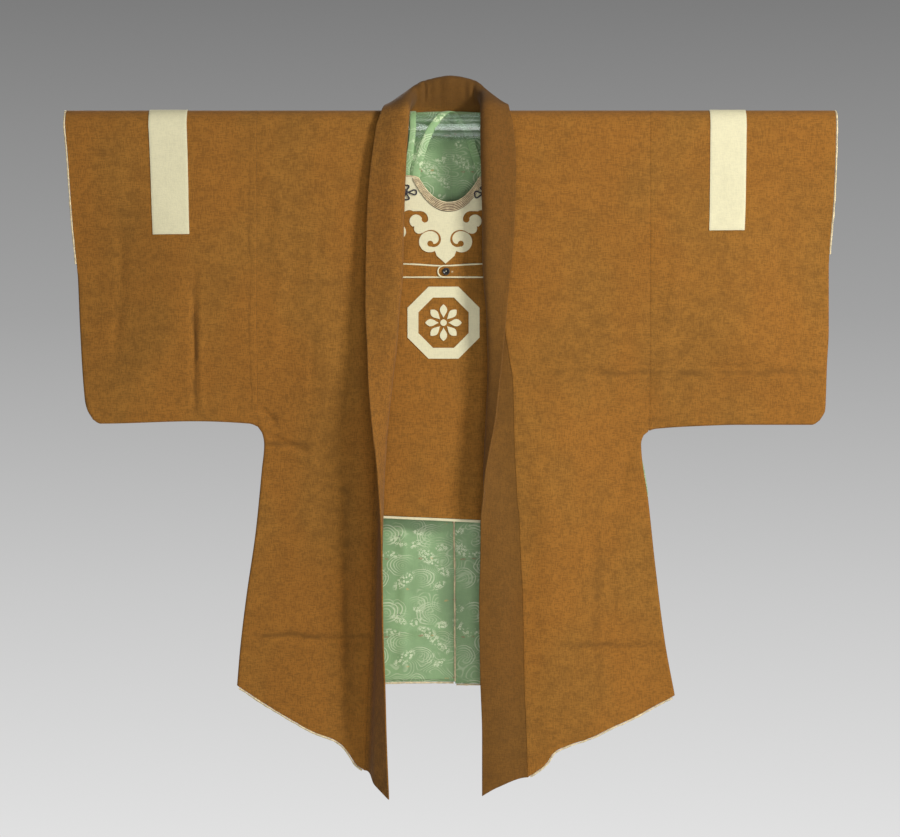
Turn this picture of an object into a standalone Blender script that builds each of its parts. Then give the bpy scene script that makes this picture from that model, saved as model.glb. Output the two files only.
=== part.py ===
"""A fire jacket of thick wool broadcloth with its chest cloth, hanging on a clear tube.

Sizes are in millimetres until a mesh is made. X runs across the jacket, Z runs up and the front
faces -Y. The origin is the middle of the tube. Left and right are as seen from the front.
"""
import math
from collections import namedtuple

import bmesh
import bpy

MM = 0.001
COLLECTION = "fire_jacket"

# Walls and clearances
WOOL = 1.8
BAND_WALL = 2.4
SILK = 0.8
STRIPE_WALL = 0.9
GAP = 0.3
BAND_GAP = 0.9

# The clear tube that holds the jacket
ROD_RADIUS = 25.0
ROD_BORE = 22.0
ROD_HALF_LENGTH = 635.0
ROD_SIDES = 32

# How the doubled cloth hangs: outer half depth over the tube, and the turn at a sewn edge
FOLD_RADIUS = 27.9
FOLD_STEPS = 8
EDGE_LIFT = 0.9
EDGE_ROUND = 4.0
EDGE_OFFSETS = (0.0, 1.2, 4.0)
SPREAD = 190.0
FOLD_END = 4.0
NARROWING = 0.006

# The back neck, where the cloth leaves the tube and stands up behind it
NECK_FOLD_ROW = 5
NECK_DEGREES = (30.0, 55.0, 75.0, 90.0)
NECK_CENTRE_X = -2.0
NECK_BACK_Y = 31.0
NECK_TOP_Z = 30.0
NECK_EASE = 4.0
NECK_EASE_LENGTH = 120.0
NECK_REACH = 64.0
NECK_REACH_EASE = 32.0

# The silk lies this far inside the wool, over the parts of the back's width that show
LINING_GAP = 0.9
LINING_RISE = 4.0
LINING_COLUMNS = (0.58, 0.80, 0.88, 0.94, 1.0)

PIPING_RADIUS = 1.6
CUFF_PIPING_END = 0.93
VENT_TOP_Z = -662.0

Spot = namedtuple("Spot", "x z")
Band = namedtuple("Band", "z seam_x roll_x roll_y edge_x edge_y")
Neck = namedtuple("Neck", "seam_x lean roll_x roll_y roll_z edge_x edge_y edge_z")
Fold = namedtuple("Fold", "top_x top_z low_x low_z width height")
Side = namedtuple(
    "Side", "sign armhole cuff corner underarm flank hem hem_end_z tip_z band neck folds stripe")
Lobe = namedtuple("Lobe", "away z radius start end steps")
Knot = namedtuple("Knot", "label x z turn layers")
Strap = namedtuple("Strap", "width rise turn_x degrees steps fall")

# Each table runs from the shoulder down, or from the outside in. The cuff is open above its last row.
LEFT = Side(
    sign=-1,
    armhole=-326.0,
    cuff=[Spot(-649, 0), Spot(-644, -56), Spot(-637, -175), Spot(-631, -250)],
    corner=[Spot(-631, -250), Spot(-627, -343), Spot(-619, -462), Spot(-615, -479), Spot(-605, -496)],
    underarm=[Spot(-605, -496), Spot(-593, -503), Spot(-432, -499), Spot(-339, -503), Spot(-326, -508)],
    flank=[Spot(-326, -508), Spot(-318, -520), Spot(-315, -538), Spot(-319, -581), Spot(-329, -682),
           Spot(-346, -801), Spot(-356, -886), Spot(-361, -946)],
    hem=[Spot(-361, -946), Spot(-315, -976), Spot(-271, -1002), Spot(-229, -1024), Spot(-197, -1036),
         Spot(-178, -1051), Spot(-160, -1078), Spot(-146, -1088)],
    hem_end_z=-1088.0,
    tip_z=-1130.0,
    band=[
        Band(0, -82, -71, -42, -124, -38),
        Band(-50, -84, -75, -44, -131, -41),
        Band(-95, -87, -77, -44, -136, -43),
        Band(-155, -90, -79, -44, -140, -45),
        Band(-205, -92, -80, -44, -141, -47),
        Band(-255, -94, -81, -44, -142, -49),
        Band(-305, -98, -86, -44, -142, -53),
        Band(-375, -107, -91, -45, -139, -60),
        Band(-430, -117, -97, -48, -137, -67),
        Band(-520, -125, -106, -52, -129, -79),
        Band(-565, -127, -109, -53, -123, -84),
        Band(-600, -128, -111, -54, -120, -86),
        Band(-672, -130, -114, -55, -115, -88),
        Band(-735, -131, -116, -55, -113.5, -88),
        Band(-845, -133, -119, -55, -112, -88),
        Band(-938, -138, -122, -54, -108.5, -86),
        Band(-1030, -142, -124, -54, -106, -84),
        Band(-1130, -146, -126, -53, -102, -82),
    ],
    neck=[
        Neck(-82.0, 0, -71, -42, 2, -124, -38, 0),
        Neck(-81.5, 0, -70, -40, 14, -120, -37, 11),
        Neck(-81.0, 0, -69.5, -34, 28, -116, -31, 23),
        Neck(-80.0, 0, -68, -22, 41, -112.5, -20, 32),
        Neck(-79.0, 20, -66, -8, 51, -108, -6, 37),
        Neck(-76.0, 40, -63, 6, 59, -101, 10, 39),
        Neck(None, 60, -57, 17, 68, -90, 26, 36),
        Neck(None, 80, -45, 26, 79, -68, 38, 33),
        Neck(None, 90, -25, 31, 86, -36, 44, 31),
        Neck(None, 90, -2, 33, 90, -2, 46, 30),
    ],
    folds=[
        Fold(-176, -590, -174, -1040, 15, -3.0),
        Fold(-150, -640, -150, -1080, 16, 3.0),
        Fold(-222, -150, -236, -480, 26, 2.0),
    ],
    stripe=(-508.5, -444.0, -186.5),
)
RIGHT = Side(
    sign=1,
    armhole=338.0,
    cuff=[Spot(651, 0), Spot(648, -124), Spot(642, -232)],
    corner=[Spot(642, -232), Spot(642, -344), Spot(639, -404), Spot(637, -463), Spot(636, -480),
            Spot(627, -497)],
    underarm=[Spot(627, -497), Spot(614, -505), Spot(491, -505), Spot(424, -507), Spot(347, -512),
              Spot(338, -515)],
    flank=[Spot(338, -515), Spot(328, -523), Spot(324, -537), Spot(325, -556), Spot(336, -632),
           Spot(347, -734), Spot(364, -870), Spot(381, -963)],
    hem=[Spot(381, -963), Spot(291, -1009), Spot(276, -1015), Spot(243, -1031), Spot(178, -1056),
         Spot(162, -1078), Spot(132, -1100)],
    hem_end_z=-1100.0,
    tip_z=-1131.0,
    band=[
        Band(0, 65, 53, -42, 106, -38),
        Band(-42, 65, 53, -44, 110, -41),
        Band(-80, 66, 54, -44, 111, -43),
        Band(-118, 67, 55, -44, 110, -44),
        Band(-168, 69, 56, -44, 108.5, -45),
        Band(-216, 71, 56, -44, 105, -46),
        Band(-265, 76, 58, -43, 100, -47),
        Band(-316, 86, 62, -42, 95, -50),
        Band(-360, 95, 63.5, -41, 91, -53),
        Band(-403, 102, 64.5, -40, 87, -55),
        Band(-430, 106, 64, -40, 84, -56),
        Band(-500, 108, 61, -42, 76, -60),
        Band(-547, 109, 59, -44, 67, -60),
        Band(-583, 111, 58, -45, 60.5, -58),
        Band(-625, 113, 61, -42, 55.5, -50),
        Band(-666, 117, 70, -36, 51.5, -42),
        Band(-722, 119, 76, -33, 51, -37),
        Band(-805, 123, 78, -31, 49, -33),
        Band(-922, 125, 78, -29, 50.5, -30),
        Band(-1030, 129, 80, -28, 54, -28),
        Band(-1131, 132, 82, -27, 54, -27),
    ],
    neck=[
        Neck(65.0, 0, 53, -42, 2, 106, -38, 0),
        Neck(65.0, 0, 53, -40, 14, 103.5, -37, 11),
        Neck(65.5, 0, 53, -34, 28, 101, -31, 23),
        Neck(66.0, 0, 53, -22, 41, 99.5, -20, 32),
        Neck(66.0, 20, 53, -8, 51, 98, -6, 37),
        Neck(66.0, 40, 52.5, 6, 59, 93, 10, 39),
        Neck(None, 60, 49, 17, 68, 82, 26, 36),
        Neck(None, 80, 40, 26, 80, 62, 38, 33),
        Neck(None, 90, 22, 31, 87, 32, 44, 31),
        Neck(None, 90, -2, 33, 90, -2, 46, 30),
    ],
    folds=[
        Fold(161, -520, 173, -1060, 22, 2.5),
        Fold(250, -600, 262, -1000, 30, -2.0),
    ],
    stripe=(500.0, 439.0, -180.0),
)
BACK_HEM = [Spot(-361, -946), Spot(-107, -943), Spot(9, -939), Spot(52, -944), Spot(381, -963)]
CENTRE_SEAM = [Spot(2, 40), Spot(9, -950)]

# Columns across a body half and a sleeve, from the outer edge in, as parts of the width
BODY_COLUMNS = (0.12, 0.26, 0.42, 0.58, 0.70, 0.80, 0.88, 0.94, 1.0)
SLEEVE_COLUMNS = (0.03, 0.06, 0.22)
SLEEVE_INNER_COLUMNS = (0.82, 1.0)
SLEEVE_ROWS = (0.0, 0.13, 0.25)
SLEEVE_LOWER_ROWS = (0.59, 0.69, 0.79, 0.87, 0.93, 0.967)
ARM_ROWS = (0.0, -70.0, -150.0, -240.0, -330.0, -400.0, -450.0, -487.0)
ROW_SPACING = 62.0
BAND_STEPS = 4

# The chest cloth hangs in one plane from its straps
BIB_CENTRE_X = -11.0
YOKE_CENTRE_X = -7.5
BIB_FRONT_Y = -8.0
BIB_WALL = 3.0
PATCH_WALL = 1.0
NECKLINE_X = -2.0
NECKLINE_HALF = 51.0
NECKLINE_TOP_Z = -88.0
NECKLINE_DEPTH = 41.0
NECKLINE_BAND_HALF = 62.0
NECKLINE_BAND_DEPTH = 56.0
NECKLINE_STEPS = 14
PATCH_INSET = 1.0
BINDING_WIDTH = 4.5
BIB_BOTTOM_Z = -663.0
BIB_BOTTOM_SLOPE = -0.045
SHOULDER_REACH = 88.0
SHOULDER_DROP = 4.0
SHOULDER_RISE = 8.0
SHOULDER_DEGREES = (20.0, 50.0, 90.0, 130.0, 160.0)

# Half outlines of the chest cloth, from the bottom up: distance from the centre line and height
BIB_SIDE = [Spot(150.0, BIB_BOTTOM_Z), Spot(146.0, -420.0), Spot(138.0, -262.0), Spot(120.0, -205.0),
            Spot(97.0, -160.0), Spot(SHOULDER_REACH, -118.0)]
YOKE_TIP = [Spot(0.0, -232.0), Spot(8.0, -225.0), Spot(16.0, -219.0)]
YOKE_LOBES = [Lobe(28.0, -196.0, 18.0, -115.0, 70.0, 9), Lobe(44.0, -173.0, 9.0, -150.0, 10.0, 5),
              Lobe(47.0, -160.0, 14.0, -35.0, 45.0, 4)]
YOKE_WING = [Spot(68.0, -148.0), Spot(84.0, -150.0), Spot(84.0, -118.0)]
YOKE_TOP_REACH = 6.0
CLOUD_LOBES = [Lobe(80.0, -178.0, 13.0, 100.0, 260.0, 8), Lobe(88.0, -196.0, 12.0, 200.0, 270.0, 4)]
CLOUD_WING = [Spot(98.0, -208.0), Spot(100.0, -190.0), Spot(96.0, -168.0)]

# The ornament below the belt
MEDALLION_Z = -332.0
FRAME_RADIUS = 66.0
FRAME_OPENING = 46.0
FRAME_SIDES = 8
LEAVES = 8
LEAF_RADIUS = 30.0
VALLEY_RADIUS = 17.0
LEAF_HALF_DEGREES = 5.0
ROSETTE_HOLE = 6.0
HOLE_SIDES = 12

# The belt and its button
BELT_WALL = 1.5
BELT_BINDING = 2.2
BELT_REACH = 146.0
BELT_TOP_Z = -231.0
BELT_LOW_Z = -256.5
BELT_RISE = 3.5
BELT_RISE_WIDTH = 40.0
BELT_LEFT_END = 16.0
BELT_RIGHT_END = -22.0
BELT_PARTS = (0.0, 0.25, 0.5, 0.75, 1.0)
BELT_TURN_CLEAR = 4.0
BELT_TURN_STEPS = 8
BUTTON_RADIUS = 6.3
BUTTON_HEIGHT = 4.0
BUTTON_SIDES = 24
BUTTON_X = -6.5
BUTTON_Z = -245.5

# Cord knots on the shoulders of the chest cloth; layers counts the patches under each
KNOTS = [Knot("left", -69.5, -113.0, 0.0, 1), Knot("right", 52.0, -115.0, 0.4, 2)]
KNOT_CORD = 1.0
KNOT_RADIUS = 8.5
KNOT_SWING = 4.0
KNOT_LOOPS = 4
KNOT_STEPS = 40

# Silk straps: places before and after the turn over the tube, and the turn in degrees from the back
STRAP_WALL = 1.0
STRAP_RADIUS = 26.0
STRAP_BEHIND_Y = BIB_FRONT_Y + BIB_WALL + GAP + STRAP_WALL / 2
STRAP_STACKED_Y = STRAP_BEHIND_Y + STRAP_WALL + GAP
NECK_STRAP = Strap(
    width=14.0,
    rise=[(60.0, STRAP_BEHIND_Y, -108.0), (57.0, STRAP_BEHIND_Y, -90.0), (45.0, 11.0, -55.0)],
    turn_x=(31.0, -34.0),
    degrees=(-20.0, 200.0),
    steps=11,
    fall=[(-46.0, -17.5, -38.0), (-57.0, STRAP_BEHIND_Y, -78.0), (-59.0, STRAP_BEHIND_Y, -106.0)],
)
STRAP_LOOP = Strap(
    width=9.0,
    rise=[(-73.0, STRAP_STACKED_Y, -108.0), (-73.0, STRAP_STACKED_Y, -88.0), (-67.0, 14.0, -45.0)],
    turn_x=(-62.5, -62.5),
    degrees=(-15.0, 195.0),
    steps=10,
    fall=[(-67.0, -16.0, -42.0), (-73.0, STRAP_BEHIND_Y, -77.0), (-73.0, STRAP_BEHIND_Y, -106.0)],
)

# Parts of a hem's width where its piping has a point
FRONT_HEM_PARTS = (0.03, 0.12, 0.26, 0.42, 0.58, 0.70, 0.80, 0.88, 0.94, 0.985)
BACK_HEM_PARTS = [(0.04, 0.0), (0.3, 0.0), (0.6, 0.0), (1.0, 0.0), (1.0, 0.5), (1.0, 0.97)]
VENT_PARTS = (0.0, 0.25, 0.5, 0.75, 1.0)

# name: colour, roughness
FINISHES = {
    "wool": ((0.30, 0.15, 0.045), 0.9),
    "cream": ((0.80, 0.75, 0.52), 0.9),
    "silk": ((0.20, 0.36, 0.22), 0.45),
    "tan": ((0.68, 0.47, 0.24), 0.6),
    "black": ((0.015, 0.012, 0.015), 0.5),
    "clear": ((0.85, 0.90, 0.88), 0.05),
}


def ease(amount):
    """A soft step from 0 to 1."""
    amount = min(1.0, max(0.0, amount))
    return amount * amount * (3.0 - 2.0 * amount)


def mix(start, end, amount):
    return start + (end - start) * amount


def read(rows, key, column, value):
    """The value of a column where the key column, which rises or falls all the way, equals value."""
    keys = [getattr(row, key) for row in rows]
    numbers = [getattr(row, column) for row in rows]
    falling = keys[0] > keys[-1]
    for index in range(len(keys) - 1):
        passed = keys[index + 1] <= value if falling else keys[index + 1] >= value
        if passed or index == len(keys) - 2:
            span = keys[index + 1] - keys[index]
            part = min(1.0, max(0.0, (value - keys[index]) / span))
            return mix(numbers[index], numbers[index + 1], part)


def reach(side, x, z):
    """How far a point lies from the nearest sewn edge of its half of the jacket."""
    sewn = side.corner + side.underarm[1:] + side.flank[1:]
    nearest = math.inf
    for start, end in zip(sewn, sewn[1:]):
        across, down = end.x - start.x, end.z - start.z
        part = ((x - start.x) * across + (z - start.z) * down) / (across * across + down * down)
        part = min(1.0, max(0.0, part))
        nearest = min(nearest, math.hypot(x - start.x - part * across, z - start.z - part * down))
    return nearest


def half_depth(side, x, z):
    """Outer half depth of the doubled cloth: a round turn at a sewn edge, the tube's width far from it."""
    away = reach(side, x, z)
    turn = EDGE_ROUND * math.sqrt(1.0 - (1.0 - min(1.0, away / EDGE_ROUND)) ** 2)
    full = FOLD_RADIUS + NARROWING * min(0.0, z)
    return EDGE_LIFT + turn + (full - EDGE_LIFT - EDGE_ROUND) * ease(away / SPREAD)


def folds(side, x, z):
    """Height of the long hanging folds of a front at a point."""
    total = 0.0
    for fold in side.folds:
        part = (z - fold.top_z) / (fold.low_z - fold.top_z)
        if 0.0 < part < 1.0:
            line = mix(fold.top_x, fold.low_x, part)
            ends = ease(FOLD_END * part) * ease(FOLD_END - FOLD_END * part)
            total += fold.height * ends * math.exp(-((x - line) / fold.width) ** 2)
    return total


def front_y(side, x, z, lift=0.0):
    return -(half_depth(side, x, z) + folds(side, x, z) + lift)


def back_y(side, x, z, lift=0.0):
    near_neck = 1.0 - ease((abs(x - NECK_CENTRE_X) - NECK_REACH) / NECK_REACH_EASE)
    standing = NECK_EASE * near_neck * (1.0 - ease(-z / NECK_EASE_LENGTH))
    return half_depth(side, x, z) + standing + lift


def over_tube(step, lift=0.0):
    """Depth and height of the cloth at a step of its fold, from the front over the top to the back."""
    angle = math.pi * step / FOLD_STEPS
    radius = FOLD_RADIUS + lift
    return -radius * math.cos(angle), radius * math.sin(angle)


def neck_edge(side, degrees, lift=0.0):
    """A point of the back neck edge, from the corner on the fold to the centre back."""
    corner_x = side.neck[NECK_FOLD_ROW].seam_x
    corner_y, corner_z = over_tube(NECK_FOLD_ROW, lift)
    turn = math.radians(degrees)
    centre_x = NECK_CENTRE_X + side.sign * GAP / 2
    x = centre_x + (corner_x - centre_x) * math.cos(turn)
    return x, mix(corner_y, NECK_BACK_Y + lift, math.sin(turn)), mix(corner_z, NECK_TOP_Z, math.sin(turn))


def neck_wall(side, degrees, step, lift=0.0):
    """A point of the back between its neck edge and the level of the tube's middle."""
    part = (step - NECK_FOLD_ROW) / (FOLD_STEPS - NECK_FOLD_ROW)
    top_x, top_y, top_z = neck_edge(side, degrees, lift)
    low_x, low_z = back_spot(side, 0.0, 1.0, 1.0 - math.cos(math.radians(degrees)))
    low_y = back_y(side, low_x, low_z, lift)
    return mix(top_x, low_x, part), mix(top_y, low_y, math.sin(math.pi / 2 * part)), mix(top_z, low_z, part)


def refine(heights):
    """The same heights with more between them, none further apart than the row spacing."""
    finer = [heights[0]]
    for height in heights[1:]:
        parts = math.ceil(abs(height - finer[-1]) / ROW_SPACING)
        start = finer[-1]
        finer += [mix(start, height, (part + 1) / parts) for part in range(parts)]
    return finer


def body_rows(side):
    """Rows of a body half as parts of its side length, from the shoulder to the hem."""
    heights = refine(list(ARM_ROWS) + [spot.z for spot in side.flank])
    return [height / side.flank[-1].z for height in heights]


def flank_x(side, part):
    height = part * side.flank[-1].z
    if height >= side.flank[0].z:
        return side.armhole - side.sign * GAP / 2
    return read(side.flank, "z", "x", height)


def edge_parts(width):
    return [offset / width for offset in EDGE_OFFSETS]


def front_spot(side, part, column):
    """Place of a front lattice point: part down its length, column from the flank to the collar seam."""
    hem_z = read(side.hem, "x", "z", mix(side.flank[-1].x, side.hem[-1].x, column))
    inner_x = read(side.band, "z", "seam_x", part * side.hem_end_z)
    return mix(flank_x(side, part), inner_x, column), part * hem_z


def back_spot(side, part, column, inward):
    """Place of a back lattice point; inward runs from the neck corner's line to the centre seam."""
    corner_x = side.neck[NECK_FOLD_ROW].seam_x
    x = mix(flank_x(side, part), corner_x, column)
    z = part * read(BACK_HEM, "x", "z", x)
    centre_x = read(CENTRE_SEAM, "z", "x", z) + side.sign * GAP / 2
    return mix(x, centre_x, inward), z


def body_lattice(side):
    """Points of one body half: up the front, over the tube and down the back, with the neck cut out."""
    columns = edge_parts(abs(side.armhole) / 2) + list(BODY_COLUMNS)
    rows = body_rows(side)
    inner = [1.0 - math.cos(math.radians(turn)) for turn in NECK_DEGREES]
    points = {}
    for row, part in enumerate(rows):
        for column, across in enumerate(columns):
            x, z = front_spot(side, part, across)
            points[-row, column] = (x, front_y(side, x, z), z)
            x, z = back_spot(side, part, across, 0.0)
            points[FOLD_STEPS + row, column] = (x, back_y(side, x, z), z)
        for extra, inward in enumerate(inner):
            x, z = back_spot(side, part, 1.0, inward)
            points[FOLD_STEPS + row, len(columns) + extra] = (x, back_y(side, x, z), z)
    for step in range(1, FOLD_STEPS):
        y, z = over_tube(step)
        neck_x = side.neck[min(step, NECK_FOLD_ROW)].seam_x
        for column, across in enumerate(columns):
            points[step, column] = (mix(flank_x(side, 0.0), neck_x, across), y, z)
    for extra, turn in enumerate(NECK_DEGREES):
        for step in range(NECK_FOLD_ROW, FOLD_STEPS):
            points[step, len(columns) + extra] = neck_wall(side, turn, step)
    return points


def sleeve_columns(side):
    outer, inner, _ = side.stripe
    width = side.armhole - side.cuff[0].x
    stripe = [(edge - side.cuff[0].x) / width for edge in (outer, inner)]
    return edge_parts(abs(width)) + list(SLEEVE_COLUMNS) + stripe + list(SLEEVE_INNER_COLUMNS)


def cuff_rows(side):
    """Rows of a sleeve down to the end of its open cuff; one is where the stripe ends."""
    stripe = side.stripe[2] / side.underarm[-1].z
    return list(SLEEVE_ROWS) + [stripe, side.cuff[-1].z / side.corner[-1].z]


def sleeve_rows(side):
    length = -side.underarm[-1].z
    near_edge = [1.0 - part for part in reversed(edge_parts(length))]
    return cuff_rows(side) + list(SLEEVE_LOWER_ROWS) + near_edge


def sleeve_spot(side, part, column):
    outer_z = part * side.corner[-1].z
    outer_x = read(side.cuff + side.corner[1:], "z", "x", outer_z)
    bottom_x = mix(side.underarm[0].x, side.underarm[-1].x, column)
    inner_x = side.armhole + side.sign * GAP / 2
    return mix(outer_x, inner_x, column), part * read(side.underarm, "x", "z", bottom_x)


def sleeve_lattice(side, lift=0.0, columns=None, rows=None):
    """Points of a sleeve, or of a band that lies on it: front, over the tube, back."""
    columns = columns or sleeve_columns(side)
    rows = rows or sleeve_rows(side)
    points = {}
    for column, across in enumerate(columns):
        for row, part in enumerate(rows):
            x, z = sleeve_spot(side, part, across)
            points[-row, column] = (x, front_y(side, x, z, lift), z)
            points[FOLD_STEPS + row, column] = (x, back_y(side, x, z, lift), z)
        for step in range(1, FOLD_STEPS):
            y, z = over_tube(step, lift)
            points[step, column] = (sleeve_spot(side, 0.0, across)[0], y, z)
    return points


def unit(vector):
    length = math.sqrt(sum(value * value for value in vector))
    return tuple(value / length for value in vector)


def bend(start, start_way, end, end_way, part):
    """A point of the curve that leaves start along one way and meets end along another."""
    pull = math.dist(start, end)
    square, cube = part * part, part * part * part
    weights = (2 * cube - 3 * square + 1, cube - 2 * square + part, 3 * square - 2 * cube, cube - square)
    return tuple(weights[0] * a + weights[1] * pull * da + weights[2] * b + weights[3] * pull * db
                 for a, da, b, db in zip(start, start_way, end, end_way))


def band_section(seam, seam_way, roll, edge):
    """Points across the collar band from its seam over the roll to the free edge."""
    rise = unit([b - a for a, b in zip(seam, roll)])
    fall = unit([b - a for a, b in zip(roll, edge)])
    roll_way = unit([a + b for a, b in zip(rise, fall)])
    first = [bend(seam, seam_way, roll, roll_way, step / BAND_STEPS) for step in range(BAND_STEPS)]
    last = [bend(roll, roll_way, edge, fall, step / BAND_STEPS) for step in range(BAND_STEPS + 1)]
    return first + last


def band_front_section(side, part):
    seam_z = part * side.hem_end_z
    edge_z = part * side.tip_z
    roll_z = (seam_z + edge_z) / 2
    seam_x = read(side.band, "z", "seam_x", seam_z)
    seam = (seam_x - side.sign * BAND_GAP, front_y(side, seam_x, seam_z, -WOOL / 2), seam_z)
    roll = (read(side.band, "z", "roll_x", roll_z), read(side.band, "z", "roll_y", roll_z), roll_z)
    edge = (read(side.band, "z", "edge_x", edge_z), read(side.band, "z", "edge_y", edge_z), edge_z)
    return band_section(seam, (-side.sign, 0.0, 0.0), roll, edge)


def band_neck_section(side, index):
    row = side.neck[index]
    lean = math.radians(row.lean)
    way = (-side.sign * math.cos(lean), 0.0, math.sin(lean))
    if index <= NECK_FOLD_ROW:
        start = (row.seam_x, *over_tube(index, -WOOL / 2))
    else:
        start = neck_edge(side, NECK_DEGREES[index - NECK_FOLD_ROW - 1], -WOOL / 2)
    seam = tuple(value + BAND_GAP * step for value, step in zip(start, way))
    roll = (row.roll_x, row.roll_y, row.roll_z)
    edge = (row.edge_x, row.edge_y, row.edge_z)
    return band_section(seam, way, roll, edge)


def collar_lattice():
    """The collar band from the left front's tip round the neck to the right front's tip."""
    half = {}
    for side in (LEFT, RIGHT):
        down = [band_front_section(side, part) for part in body_rows(side)[1:]]
        round_neck = [band_neck_section(side, index) for index in range(len(side.neck))]
        half[side.sign] = list(reversed(down)) + round_neck
    sections = half[-1] + list(reversed(half[1]))[1:]
    return {(row, column): point for row, section in enumerate(sections)
            for column, point in enumerate(section)}


def lining_lattice(side):
    """The silk inside the middle of the back, from the neck edge down, and from under the tube beside it."""
    inset = WOOL + LINING_GAP
    rows = [part for part in body_rows(side) if part > 0.0][:-1]
    rows.append(1.0 + LINING_RISE / side.flank[-1].z)
    inner = [1.0 - math.cos(math.radians(turn)) for turn in NECK_DEGREES]
    points = {}
    for row, part in enumerate(rows):
        places = [back_spot(side, part, across, 0.0) for across in LINING_COLUMNS]
        places += [back_spot(side, part, 1.0, inward) for inward in inner]
        for column, (x, z) in enumerate(places):
            points[row, column] = (x, back_y(side, x, z, -inset), z)
    for extra, turn in enumerate(NECK_DEGREES):
        for step in range(NECK_FOLD_ROW, FOLD_STEPS + 1):
            x, y, z = neck_wall(side, turn, step, -inset)
            drop = LINING_GAP if step == NECK_FOLD_ROW else 0.0
            points[step - FOLD_STEPS - 1, len(LINING_COLUMNS) + extra] = (x, y, z - drop)
    return points


def finish(name):
    """The material of a finish, made once for each piece."""
    colour, roughness = FINISHES[name]
    material = bpy.data.materials.new(name)
    material.use_nodes = True
    shader = material.node_tree.nodes["Principled BSDF"]
    shader.inputs["Base Color"].default_value = (*colour, 1.0)
    shader.inputs["Roughness"].default_value = roughness
    shader.inputs["Metallic"].default_value = 0.0
    return material


def keep(name, data, look):
    """An object in the jacket's collection with its own material."""
    item = bpy.data.objects.new(name, data)
    bpy.data.collections[COLLECTION].objects.link(item)
    data.materials.append(finish(look))
    return item


def shell(name, points, wall, look, offset, flip=False):
    """A cloth wall on a lattice held as {(row, column): point}: faces where four points are neighbours."""
    net = bmesh.new()
    verts = {place: net.verts.new([value * MM for value in point]) for place, point in points.items()}
    for row, column in points:
        corners = [(row, column), (row, column + 1), (row + 1, column + 1), (row + 1, column)]
        if all(corner in verts for corner in corners):
            face = net.faces.new([verts[corner] for corner in corners])
            face.smooth = True
            if flip:
                face.normal_flip()
    mesh = bpy.data.meshes.new(name)
    net.to_mesh(mesh)
    net.free()
    item = keep(name, mesh, look)
    solidify = item.modifiers.new("wall", "SOLIDIFY")
    solidify.thickness = wall * MM
    solidify.offset = offset
    solidify.use_even_offset = True
    return item


def tube(name, points, radius, look, cyclic=False, sides=1):
    """A round cord or piping along its centre line."""
    curve = bpy.data.curves.new(name, "CURVE")
    curve.dimensions = "3D"
    curve.bevel_depth = radius * MM
    curve.bevel_resolution = sides
    curve.use_fill_caps = True
    spline = curve.splines.new("POLY")
    spline.points.add(len(points) - 1)
    spline.use_cyclic_u = cyclic
    for target, point in zip(spline.points, points):
        target.co = (*[value * MM for value in point], 1.0)
    return keep(name, curve, look)


def plate(name, outlines, front, wall, look):
    """A flat piece facing the front, from outlines of (x, z) points; later outlines are its openings."""
    curve = bpy.data.curves.new(name, "CURVE")
    curve.dimensions = "2D"
    curve.fill_mode = "BOTH"
    curve.extrude = wall * MM / 2
    for outline in outlines:
        spline = curve.splines.new("POLY")
        spline.points.add(len(outline) - 1)
        spline.use_cyclic_u = True
        for target, (x, z) in zip(spline.points, outline):
            target.co = (x * MM, z * MM, 0.0, 1.0)
    item = keep(name, curve, look)
    item.rotation_euler = (math.pi / 2, 0.0, 0.0)
    item.location = (0.0, (front + wall / 2) * MM, 0.0)
    return item


def arc(centre_x, centre_z, radius, start, end, steps):
    """Points along an arc, in degrees from +X towards +Z."""
    angles = [math.radians(mix(start, end, step / steps)) for step in range(steps + 1)]
    return [(centre_x + radius * math.cos(angle), centre_z + radius * math.sin(angle)) for angle in angles]


def beside(path, step):
    """A path moved in its own XZ plane, square to itself."""
    moved = []
    for index, (x, y, z) in enumerate(path):
        before, after = path[max(0, index - 1)], path[min(len(path) - 1, index + 1)]
        across, down = after[0] - before[0], after[2] - before[2]
        length = math.hypot(across, down)
        moved.append((x - step * down / length, y, z + step * across / length))
    return moved


def build_rod():
    """The clear tube, open at both ends."""
    step = 360.0 / ROD_SIDES
    rings = [arc(0.0, 0.0, radius, 0.0, 360.0 - step, ROD_SIDES - 1) for radius in (ROD_RADIUS, ROD_BORE)]
    rod = plate("rod", rings, 0.0, 2 * ROD_HALF_LENGTH, "clear")
    rod.rotation_euler = (math.pi / 2, 0.0, math.pi / 2)
    rod.location = (0.0, 0.0, 0.0)


def build_body(side, label):
    shell("body_" + label, body_lattice(side), WOOL, "wool", -1.0, side.sign > 0)


def build_sleeve(side, label):
    shell("sleeve_" + label, sleeve_lattice(side), WOOL, "wool", -1.0, side.sign > 0)


def build_stripe(side, label):
    """The cream band laid over the shoulder of a sleeve."""
    outer, inner, low_z = side.stripe
    width = side.armhole - side.cuff[0].x
    columns = [(edge - side.cuff[0].x) / width for edge in (outer, inner)]
    rows = [*SLEEVE_ROWS, low_z / side.underarm[-1].z]
    points = sleeve_lattice(side, GAP, columns, rows)
    shell("stripe_" + label, points, STRIPE_WALL, "cream", 1.0, side.sign > 0)


def build_cuff_piping(side, label):
    """Piping round the open part of a cuff: up the front, over the tube, down the back."""
    parts = cuff_rows(side)
    parts[-1] = mix(parts[-2], parts[-1], CUFF_PIPING_END)
    outside = side.sign * (GAP + PIPING_RADIUS)
    front, back = [], []
    for part in parts:
        x, z = sleeve_spot(side, part, 0.0)
        front.append((x + outside, front_y(side, x, z, -WOOL / 2), z))
        back.append((x + outside, back_y(side, x, z, -WOOL / 2), z))
    top = [(side.cuff[0].x + outside, *over_tube(step, -WOOL / 2)) for step in range(1, FOLD_STEPS)]
    tube("cuff_piping_" + label, list(reversed(front)) + top + back, PIPING_RADIUS, "tan")


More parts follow.
